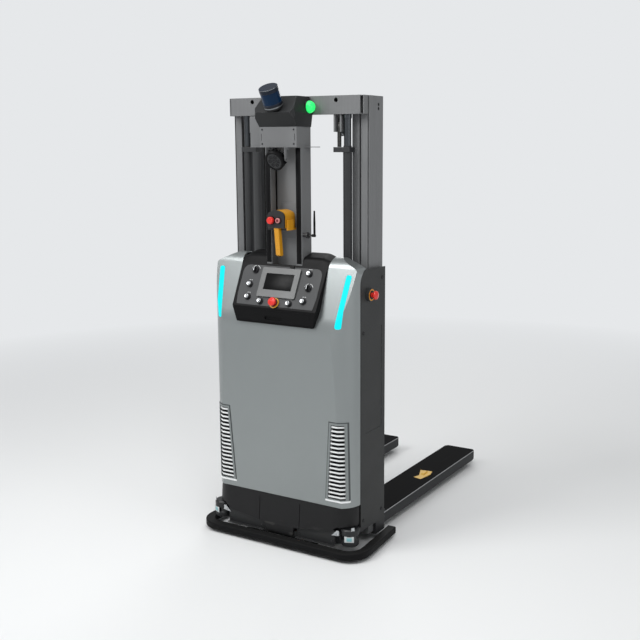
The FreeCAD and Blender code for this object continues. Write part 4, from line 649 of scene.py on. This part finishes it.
# Pale window film of the scanners' status panels.
status_film = finish(
    "status_film", "#7fb3ba", roughness=0.3, grain_mm=3.0, depth_mm=0.0, tint=0.1, edge_mm=0.3
)

# Folded steel aprons in dark grey primer, dusty.
apron_steel = finish(
    "apron_steel", "#1f2021", roughness=0.6, grain_mm=7.0, depth_mm=0.05, tint=0.1, edge_mm=0.8,
    worn="#5f6062", wear=0.6,
)

# Black paint on the hook of the remote's bracket; its steel back plate is grey, and one cheek is yellow.
bracket_paint = finish("bracket_paint", "#141415", roughness=0.46, grain_mm=5.0, tint=0.04, edge_mm=1.0)
tree = bracket_paint.node_tree
back_plate_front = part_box("pendant_holster")[1].y - 0.0085
x, y, z = coordinates(tree)
repaint(bracket_paint, zone(tree, (y, "over", back_plate_front)), "#7e7f80", 0.48)
cheek = zone(
    tree, (z, "over", head_low.z + 0.0012), (y, "under", back_plate_front), (x, "over", head_high.x + 0.0003)
)
repaint(bracket_paint, cheek, "#cf9016", 0.42)

# Dull white moulding round the status panels.
frame_white = finish("frame_white", "#c3c8c8", roughness=0.45, grain_mm=3.0, depth_mm=0.0, edge_mm=0.4)

NODE_FINISH = {
    silver_lacquer: ["front_shell"],
    charcoal_powder: ["side_panel_left", "side_panel_right"],
    mast_enamel: ["outer_mast", "inner_mast", "crosshead"],
    chassis_paint: [
        "chassis_frame",
        "support_legs",
        "cylinder_barrels",
        "battery_pack",
        "drive_unit",
        "hydraulic_unit",
        "carriage",
    ],
    black_abs: ["console_hood", "console_hatch", "spotlight", "antenna"],
    skirt_abs: ["base_skirt"],
    bracket_paint: ["pendant_holster"],
    hood_paint: ["sensor_hood"],
    panel_film: ["instrument_panel"],
    bezel_paint: ["screen_unit"],
    hard_chrome: ["piston_rods"],
    nickel_plate: ["button_start", "button_reset", "button_mode", "button_lower", "button_lift", "button_power"],
    oiled_chain: ["lift_chains"],
    zinc_plate: ["chain_sheave_left", "chain_sheave_right", "drive_controller"],
    column_powder: ["column", "sensor_box"],
    fork_enamel: ["fork_left", "fork_right"],
    white_abs: ["louvre_inserts"],
    blue_polycarbonate: ["lidar_window"],
    navy_anodised: ["lidar_body"],
    yellow_abs: ["pendant"],
    flap_yellow: ["pallet_flap"],
    red_abs: ["console_estop", "side_estop_left", "side_estop_right", "pendant_stop"],
    pink_silicone: ["pendant_enable"],
    moulded_rubber: ["bumper_ring"],
    brown_polyurethane: ["drive_wheel"],
    grey_polyurethane: ["caster_wheel_left", "caster_wheel_right", "load_roller_left", "load_roller_right"],
    cyan_guide: ["light_strips"],
    green_dome: ["signal_beacon"],
    scanner_black: ["safety_scanners"],
    black_oxide: ["selector_left", "selector_right", "caster_fork_left", "caster_fork_right"],
}
for made, names in NODE_FINISH.items():
    for name in names:
        mesh = nodes[name].data
        mesh.materials.clear()
        mesh.materials.append(made)

# ---- console fittings ----

CONSOLE_TILT = 26.5  # degrees from upright
PANEL_THICKNESS, PANEL_FOOT_DROP = 0.004, 0.010
BUTTON_CROWN, SELECTOR_CROWN, STOP_CROWN = 16.1, 18.77, 28.13  # highest points above the centres, mm

console_slope = math.radians(90 - CONSOLE_TILT)
panel_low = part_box("instrument_panel")[0]
along_slope = Vector((0, math.cos(console_slope), math.sin(console_slope)))
panel_edge = Vector((0, panel_low.y, panel_low.z + PANEL_THICKNESS * math.cos(console_slope)))
panel_foot = panel_edge - along_slope * PANEL_FOOT_DROP


def on_console(u, v, w=0.0):
    """Place on the sloping panel: u across and v up the slope from its foot, w out of it."""
    flat = Matrix.Rotation(console_slope, 4, "X")
    return Matrix.Translation(panel_foot) @ flat @ Matrix.Translation(Vector((u, v, w)) * MM)


def control_place(node, crown):
    """Where a control stands on the panel; crown is how far its highest point is above its centre."""
    low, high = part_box(node)
    return (low.x + high.x) / 2 / MM, (high.z - panel_foot.z - crown * MM) / math.sin(console_slope) / MM


BUTTONS = ("start", "reset", "mode", "lower", "lift", "power")
buttons = [control_place("button_" + name, BUTTON_CROWN) for name in BUTTONS]
selectors = [control_place("selector_" + side, SELECTOR_CROWN) for side in ("left", "right")]
stop = control_place("console_estop", STOP_CROWN)

# The console's moulded cowl: its brow falls away towards both rear corners, along a run that is cut into
# strips so that it can bend.
BROW_RUN, BROW_HEIGHT, BROW_DROP, BROW_STRIPS = 0.064, 0.062, 0.024, 8
cowl = bmesh.new()
cowl.from_mesh(nodes["console_hood"].data)
bmesh.ops.remove_doubles(cowl, verts=cowl.verts, dist=1e-6)
cowl_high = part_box("console_hood")[1]
strip = BROW_RUN / BROW_STRIPS
for step in range(BROW_STRIPS):
    for side in (-1, 1):
        geom = cowl.verts[:] + cowl.edges[:] + cowl.faces[:]
        cut_x = side * (cowl_high.x - strip * step - strip / 2)
        bmesh.ops.bisect_plane(cowl, geom=geom, plane_co=(cut_x, 0, 0), plane_no=(1, 0, 0))
for vert in cowl.verts:
    out = min(1.0, max(0.0, (abs(vert.co.x) - cowl_high.x + BROW_RUN) / BROW_RUN))
    up = min(1.0, max(0.0, (vert.co.z - cowl_high.z + BROW_HEIGHT) / BROW_HEIGHT))
    vert.co.z -= BROW_DROP * out * out * up
cowl_piece = piece("console_cowl", "truck", cowl, black_abs)
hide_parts("console_hood")

# Blackened rings round the buttons and selectors, and a pointer on each selector that turns with it.
button_ring = [(11.7, 0.05), (16, 0.05), (16, 2), (14.8, 3.2), (12.6, 3.2), (11.7, 2.4)]
selector_ring = [(14.6, 0.05), (17.4, 0.05), (17.4, 1.4), (16.4, 2.2), (14.6, 2.2)]
rings = bmesh.new()
for u, v in buttons:
    turned(rings, button_ring, on_console(u, v))
for u, v in selectors:
    turned(rings, selector_ring, on_console(u, v))
piece("control_rings", "truck", rings, black_oxide)

for (u, v), side in zip(selectors, ("left", "right")):
    pointer = bmesh.new()
    block(pointer, (-1.1, -10, 19.8), (1.1, 10, 20.8), on_console(u, v), 0.3)
    turned(pointer, [(11.2, 6.5), (14.1, 5.4), (14.1, 3.4), (11.2, 3.0)], on_console(u, v))
    piece("selector_pointer_" + side, "selector_" + side, pointer, nickel_plate)

# White print: two position arcs round each selector and two plain dashes over every button.
legend = bmesh.new()
arc = [(22, 0.05), (24, 0.05), (24, 0.3), (22, 0.3)]
for u, v in selectors:
    for start_angle in (20, 100):
        turn = Matrix.Rotation(math.radians(start_angle), 4, "Z")
        turned(legend, arc, on_console(u, v) @ turn, 8, math.radians(60))
for u, v in buttons:
    for low_u, high_u in ((-9, -1.5), (1.5, 9)):
        block(legend, (low_u, 20.5, 0.05), (high_u, 22.7, 0.3), on_console(u, v), 0.1, 1)
piece("panel_legend", "truck", legend, white_print)

# The console stop stands in a yellow collar, and the screen's glass lies in its bezel.
collar = bmesh.new()
stop_collar = [(19.0, 0.05), (24.6, 0.05), (24.6, 3), (23.4, 4.6), (20.4, 4.6), (19.0, 3.4)]
turned(collar, stop_collar, on_console(*stop))
piece("console_stop_collar", "truck", collar, collar_yellow)

PANE_HALF, PANE_LOW, PANE_HIGH = 75.4, 86.6, 163.4
pane = bmesh.new()
pane_corners = [(-PANE_HALF, PANE_LOW), (PANE_HALF, PANE_LOW), (PANE_HALF, PANE_HIGH), (-PANE_HALF, PANE_HIGH)]
plate(pane, pane_corners, 1.4, on_console(0, 0, 6.05), 0.4)
piece("display_pane", "truck", pane, display_glass)

# A near-black block behind the hatch's finger slot is a painted shadow in the slot.
hatch_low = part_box("console_hatch")[0] / MM
slot_shadow_block = bmesh.new()
block(slot_shadow_block, (-44, hatch_low.y + 9, hatch_low.z + 15), (44, hatch_low.y + 11, hatch_low.z + 29))
piece("hatch_slot_shadow", "hatch", slot_shadow_block, filter_foam)

# ---- hood fittings ----

shell_low, shell_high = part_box("front_shell")
vent_low, vent_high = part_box("louvre_inserts")
PLEATS, PLEAT_DEPTH, FOAM_THICKNESS = 60, 0.003, 0.002


def filter_pad(side):
    """Pleated foam behind one vent: a folded strip that follows the corner of the hood."""
    shape = bmesh.new()
    flank, front = shell_high.x / MM, shell_low.y / MM
    route = [(flank - 128, front + 34), (flank - 56, front + 34)]
    route += [(flank - 34, front + 50), (flank - 22, front + 72)]
    corners = [shape.verts.new((side * x * MM, y * MM, vent_low.z)) for x, y in route]
    edges = [shape.edges.new(pair) for pair in zip(corners, corners[1:])]
    raised = bmesh.ops.extrude_edge_only(shape, edges=edges)["geom"]
    top = [g for g in raised if isinstance(g, bmesh.types.BMVert)]
    bmesh.ops.translate(shape, vec=(0, 0, vent_high.z - vent_low.z), verts=top)
    upright = [e for e in shape.edges if abs(e.verts[0].co.z - e.verts[1].co.z) > 0.1]
    bmesh.ops.subdivide_edges(shape, edges=upright, cuts=PLEATS - 1, use_grid_fill=True)
    for vert in shape.verts:
        if round((vert.co.z - vent_low.z) / (vent_high.z - vent_low.z) * PLEATS) % 2:
            vert.co.y += PLEAT_DEPTH
    bmesh.ops.solidify(shape, geom=shape.faces, thickness=FOAM_THICKNESS)
    return shape


for side, name in ((-1, "left"), (1, "right")):
    piece("vent_filter_" + name, "truck", filter_pad(side), filter_foam)

# Quarter-turn locks in the side covers, and caps and screws in the mast's flanks.
lock_head = [(0, 0), (9, 0), (9, 1.4), (8, 2.2), (0, 2.2)]
locks = bmesh.new()
panel_face = shell_high.x / MM
for side in (-1, 1):
    for y, z in ((-612, 1028), (-612, 150), (-440, 1260), (-440, 150)):
        place = facing(side * panel_face, y, z, (side, 0, 0))
        turned(locks, lock_head, place, 24, close=False)
        block(locks, (-6, -1, 2.0), (6, 1, 2.8), place, 0.2, 1)
piece("cover_locks", "truck", locks, black_oxide)

MAST_LINE = -448.5  # y of the fixings in the mast's flanks
hole_cap = [(0, -1), (7, -1), (7, 0.6), (5.4, 1.0), (4.6, 0.2), (0, 0.2)]
mast_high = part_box("outer_mast")[1] / MM
caps = bmesh.new()
for side in (-1, 1):
    for drop in (37, 55):
        place = facing(side * mast_high.x, MAST_LINE, mast_high.z - drop, (side, 0, 0))
        turned(caps, hole_cap, place, 20, close=False)
    for height in (720, 790, 1170, 1240):
        place = facing(side * mast_high.x, MAST_LINE, height, (side, 0, 0))
        socket_screw(caps, place, 7, 4)
piece("mast_screws", "truck", caps, black_oxide)

# ---- sensor head ----

# The bright lip round the lidar's top.
lidar_turn = lidar_axis.to_track_quat("Z", "Y").to_matrix().to_4x4()
lidar_place = Matrix.Translation(lidar_foot) @ lidar_turn
lidar_lip = [(40.2, 95.2), (42.95, 94.2), (42.95, 92.0), (42.6, 92.0), (42.6, 93.8), (40.2, 94.8)]
rim = bmesh.new()
turned(rim, lidar_lip, lidar_place, 56)
piece("lidar_rim", "truck", rim, zinc_plate)

# Screws of the sensor box's front plate.
BOX_FACE = -700.5
box_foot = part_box("sensor_box")[0].z / MM
head = bmesh.new()
for x in (-84, 84):
    for z in (box_foot + 74, box_foot + 136):
        socket_screw(head, facing(x, BOX_FACE, z, FRONT), 3.6, 2.2)
piece("head_screws", "truck", head, black_oxide)

# The floodlight's glass sits in its rim over a ring of small reflector cups.
LAMP_AIM = math.radians(28)  # below level
CUPS, CUP_RING = 6, 0.021
lamp_joint = next(joint for joint in frame["joints"] if joint["name"] == "lamp_tilt")
lamp_aim = Vector((0, -math.cos(LAMP_AIM), -math.sin(LAMP_AIM)))
lamp_turn = lamp_aim.to_track_quat("Z", "Y").to_matrix().to_4x4()
lamp_place = Matrix.Translation(Vector(lamp_joint["pos_m"])) @ lamp_turn
lens = [(0, 19.1), (36, 19.1), (36, 20.3), (30, 20.9), (0, 21.2)]
glass = bmesh.new()
turned(glass, lens, lamp_place, 48, close=False)
piece("lamp_glass", "lamp", glass, lamp_glass)
cup = [(2.2, 20.8), (7.6, 21.0), (8.4, 21.8), (7.8, 22.0), (3.0, 21.2)]
cups = bmesh.new()
for step in range(CUPS + 1):
    turn = Matrix.Rotation(math.radians(60 * step), 4, "Z")
    offset = Matrix.Translation((0.0 if step == CUPS else CUP_RING, 0, 0))
    turned(cups, cup, lamp_place @ turn @ offset, 20)
piece("lamp_cups", "lamp", cups, black_oxide)

# A grey seal closes the lead slot in the column's web, a black strip up the web's left corner is a painted
# shadow in that corner, and black covers close the grooves in the column's front edges.
WEB_THICKNESS = 6
COVER_FOOT, RIB_FOOT, COVER_HEAD = 1325, 1374, 1838  # heights of the strips' ends
web = column_high.y / MM - WEB_THICKNESS
edge = column_half / MM
column_face = column_low.y / MM
seal = bmesh.new()
block(seal, (-34.9, web - 0.4, 1579.2), (-30.1, web + 5.6, 1749.8), None, 0.3, 1)
piece("slot_seal", "truck", seal, column_powder)
corner_shadow_and_covers = bmesh.new()
# Painted shadow: a black strip up the web's left corner.
block(corner_shadow_and_covers, (7.0 - edge, web - 5.5, RIB_FOOT), (12.5 - edge, web - 0.05, COVER_HEAD), None, 1.2)
for side in (-1, 1):
    low_x, high_x = sorted((side * (edge - 28), side * (edge - 2.5)))
    block(corner_shadow_and_covers, (low_x, column_face - 1.3, COVER_FOOT), (high_x, column_face - 0.05, COVER_HEAD), None, 0.5)
    rib_x = side * (edge - 15)
    rib_low, rib_high = (rib_x - 1.2, column_face - 2.4, RIB_FOOT), (rib_x + 1.2, column_face - 1.2, COVER_HEAD)
    block(corner_shadow_and_covers, rib_low, rib_high, None, 0.4)
piece("column_covers_and_corner_shadow", "truck", corner_shadow_and_covers, black_abs)

# ---- remote ----

# Black trims: a ring round each of the remote's buttons, three ribs on its grip and an eye at its foot.
remote_front = head_low.y / MM
grip_x = (head_low.x + head_high.x) / 2 / MM
trims = bmesh.new()
for node in ("pendant_stop", "pendant_enable"):
    low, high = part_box(node)
    place = facing((low.x + high.x) / 2 / MM, remote_front, (low.z + high.z) / 2 / MM, FRONT)
    inner = (high.x - low.x) / 2 / MM + 0.7
    outer = inner + 1.9
    turned(trims, [(inner, 0.02), (outer, 0.02), (outer, 1.6), (outer - 0.8, 2.4), (inner, 2.4)], place)
GRIP_LEAN = 0.11  # mm back for each mm up
grip_foot = head_low.z / MM
for height in (6, 12, 18):
    lean = height * GRIP_LEAN
    rib_low = (grip_x - 10.5, remote_front + 27 - lean, grip_foot + height + 8)
    rib_high = (grip_x + 10.5, remote_front + 40.4 - lean, grip_foot + height + 10.4)
    block(trims, rib_low, rib_high, None, 0.4, 1)
eye_middle = Matrix.Translation(Vector((grip_x, remote_front + 27, grip_foot + 4.2)) * MM)
eye = eye_middle @ Matrix.Rotation(math.pi / 2, 4, "Y")
turned(trims, [(6.0, -1.3), (8.4, -1.3), (8.4, 1.3), (6.0, 1.3)], eye, 28)
piece("remote_trims", "remote", trims, black_abs)

# ---- base ----

# Pale brackets hold the scanners to the skirt: a wing at the front and an ear round the corner.
skirt_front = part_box("base_skirt")[0].y / MM
brackets = bmesh.new()
for side in (-1, 1):
    front = facing(side * 306, skirt_front + 9, 104, FRONT)
    wing = [(-20 * side, -2), (22 * side, 3), (20 * side, 26), (9 * side, 27)]
    plate(brackets, wing if side > 0 else wing[::-1], 3, front, 0.7)
    socket_screw(brackets, front @ Matrix.Translation((0.004 * side, 0.010, 0.003)), 4.2, 2.8)
    ear = facing(side * 388, skirt_front + 26, 140, (side * 0.75, -0.66, 0))
    plate(brackets, [(-9, -12), (9, -12), (7, 12), (-7, 12)], 3, ear, 0.7)
piece("scanner_brackets", "truck", brackets, anodised_aluminium)

# Folded apron plates close the gap behind the skirt's lower edge: one each side of its tongue, with a foot,
# and a low one behind the tongue.
APRON_FRONT, APRON_BACK = -728.2, -725.6
aprons = bmesh.new()
for side in (-1, 1):
    inner, outer = side * 92, side * 300
    low_x, high_x = min(inner, outer), max(inner, outer)
    block(aprons, (low_x, APRON_FRONT, 53), (high_x, APRON_BACK, 126))
    block(aprons, (low_x, -742, 50.6), (high_x, -726.0, 53.4))
    for x in (inner + side * 14, outer - side * 14):
        socket_screw(aprons, facing(x, APRON_FRONT, 72, FRONT), 4.5, 3)
block(aprons, (-91, APRON_FRONT, 40), (91, APRON_BACK, 76))
piece("apron_plates", "truck", aprons, apron_steel)

# A status panel on each scanner: a pale window in a white frame that looks out past the corner.
SCANNER_RADIUS, NECK_RADIUS = 44, 39.5
status = bmesh.new()
frames = bmesh.new()
for side in (-1, 1):
    middle = side * (scan_high.x / MM - SCANNER_RADIUS)
    direction = Vector((side * 0.42, -0.91, 0)).normalized()
    spot = Vector((middle, scan_low.y / MM + SCANNER_RADIUS, 0)) + direction * (NECK_RADIUS + 0.6)
    place = facing(spot.x, spot.y, scan_low.z / MM + 39, direction)
    plate(frames, [(-22, -14), (22, -14), (22, 14), (-22, 14)], 2.8, place, 1.4, 3)
    plate(status, [(-12, -8), (12, -8), (12, 8), (-12, 8)], 0.8, place @ Matrix.Translation((0, 0, 0.0026)), 0.3)
piece("status_frames", "truck", frames, frame_white)
piece("status_windows", "truck", status, status_film)

# ---- fork carriage ----

# Cap screws hold each fork's shank to the carriage.
SHANK_FACE = -364.5
carriage_low, carriage_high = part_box("carriage")
bolts = bmesh.new()
for fork in ("fork_left", "fork_right"):
    low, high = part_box(fork)
    middle = (low.x + high.x) / 2 / MM
    for x in (middle - 55, middle + 55):
        for z in (carriage_low.z / MM + 70, carriage_high.z / MM - 28):
            socket_screw(bolts, facing(x, SHANK_FACE, z, BACK), 9, 6)
piece("fork_bolts", "fork_carriage", bolts, black_oxide)

# ---- floor, light and camera ----

# Pale studio floor that runs into the backdrop: matt paint near the truck, and the backdrop's own tone
# from a few metres out, so no horizon shows.
BACKDROP_TONE = "#e6e8ea"
FLOOR_NEAR, FLOOR_FAR = 1.6, 5.5
ground = bmesh.new()
bmesh.ops.create_circle(ground, cap_ends=True, segments=96, radius=60)
floor_mesh = bpy.data.meshes.new("floor")
ground.to_mesh(floor_mesh)
ground.free()
floor = bpy.data.objects.new("floor", floor_mesh)
bpy.context.scene.collection.objects.link(floor)
floor_paint = bpy.data.materials.new("studio_floor")
floor_paint.use_nodes = True
tree = floor_paint.node_tree
shader = tree.nodes["Principled BSDF"]
shader.inputs["Base Color"].default_value = srgb("#e9eaea")
shader.inputs["Roughness"].default_value = 0.85
spot = add(tree, "ShaderNodeTexCoord", output="Object")
distance = add(tree, "ShaderNodeVectorMath", {0: spot}, "Value", operation="LENGTH")
far = add(tree, "ShaderNodeMapRange", {0: distance, 1: FLOOR_NEAR, 2: FLOOR_FAR})
glow = add(tree, "ShaderNodeEmission", {"Color": srgb(BACKDROP_TONE), "Strength": 1.0})
fade = add(tree, "ShaderNodeMixShader", {0: far, 1: shader.outputs[0], 2: glow})
tree.links.new(fade, tree.nodes["Material Output"].inputs["Surface"])
floor_mesh.materials.append(floor_paint)

# The camera sees the pale backdrop; surfaces are lit by a weaker fill, and mirror about a third of it.
world = bpy.data.worlds.new("studio")
bpy.context.scene.world = world
world.use_nodes = True
tree = world.node_tree
seen = tree.nodes["Background"]
seen.inputs["Color"].default_value = srgb(BACKDROP_TONE)
seen.inputs["Strength"].default_value = 1.0
fill = add(tree, "ShaderNodeBackground", {"Color": srgb(BACKDROP_TONE), "Strength": 0.38})
path = add(tree, "ShaderNodeLightPath").node.outputs
direct = {0: path["Is Camera Ray"], 1: path["Is Transmission Ray"]}
shown = add(tree, "ShaderNodeMath", direct, operation="MAXIMUM")
mirrored = add(tree, "ShaderNodeMath", {0: path["Is Glossy Ray"], 1: 0.35}, operation="MULTIPLY")
shown = add(tree, "ShaderNodeMath", {0: shown, 1: mirrored}, operation="MAXIMUM")
mixed = add(tree, "ShaderNodeMixShader", {0: shown, 1: fill, 2: seen.outputs[0]})
tree.links.new(mixed, tree.nodes["World Output"].inputs["Surface"])


def area_light(name, place, target, size, power):
    """Square soft box that points at its target."""
    data = bpy.data.lights.new(name, "AREA")
    data.size = size
    data.energy = power
    light = bpy.data.objects.new(name, data)
    light.location = place
    light.rotation_euler = (Vector(target) - Vector(place)).to_track_quat("-Z", "Y").to_euler()
    bpy.context.scene.collection.objects.link(light)


area_light("overhead", (0.3, -1.8, 5.2), (0, -0.4, 1.2), 3.4, 95)
area_light("left_shoulder", (-1.9, -3.7, 4.1), (0, -0.7, 1.2), 2.0, 115)
area_light("right_shoulder", (2.7, -3.4, 4.2), (0.3, -0.7, 1.2), 1.4, 42)
area_light("side", (4.6, -1.2, 2.2), (0, -0.2, 1.1), 1.8, 22)
area_light("rim", (-1.5, 4.2, 3.8), (0, 0, 1.0), 2.5, 70)

camera_data = bpy.data.cameras.new("camera")
camera_data.sensor_width = 36
camera_data.lens = 53.33
camera_data.shift_x = -0.0602
camera = bpy.data.objects.new("camera", camera_data)
camera.location = (2.433, -4.1975, 1.844)
camera.rotation_euler = (math.radians(90 - 10.36), 0, math.radians(30.05))
bpy.context.scene.collection.objects.link(camera)
bpy.context.scene.camera = camera
bpy.context.scene.view_settings.view_transform = "Standard"
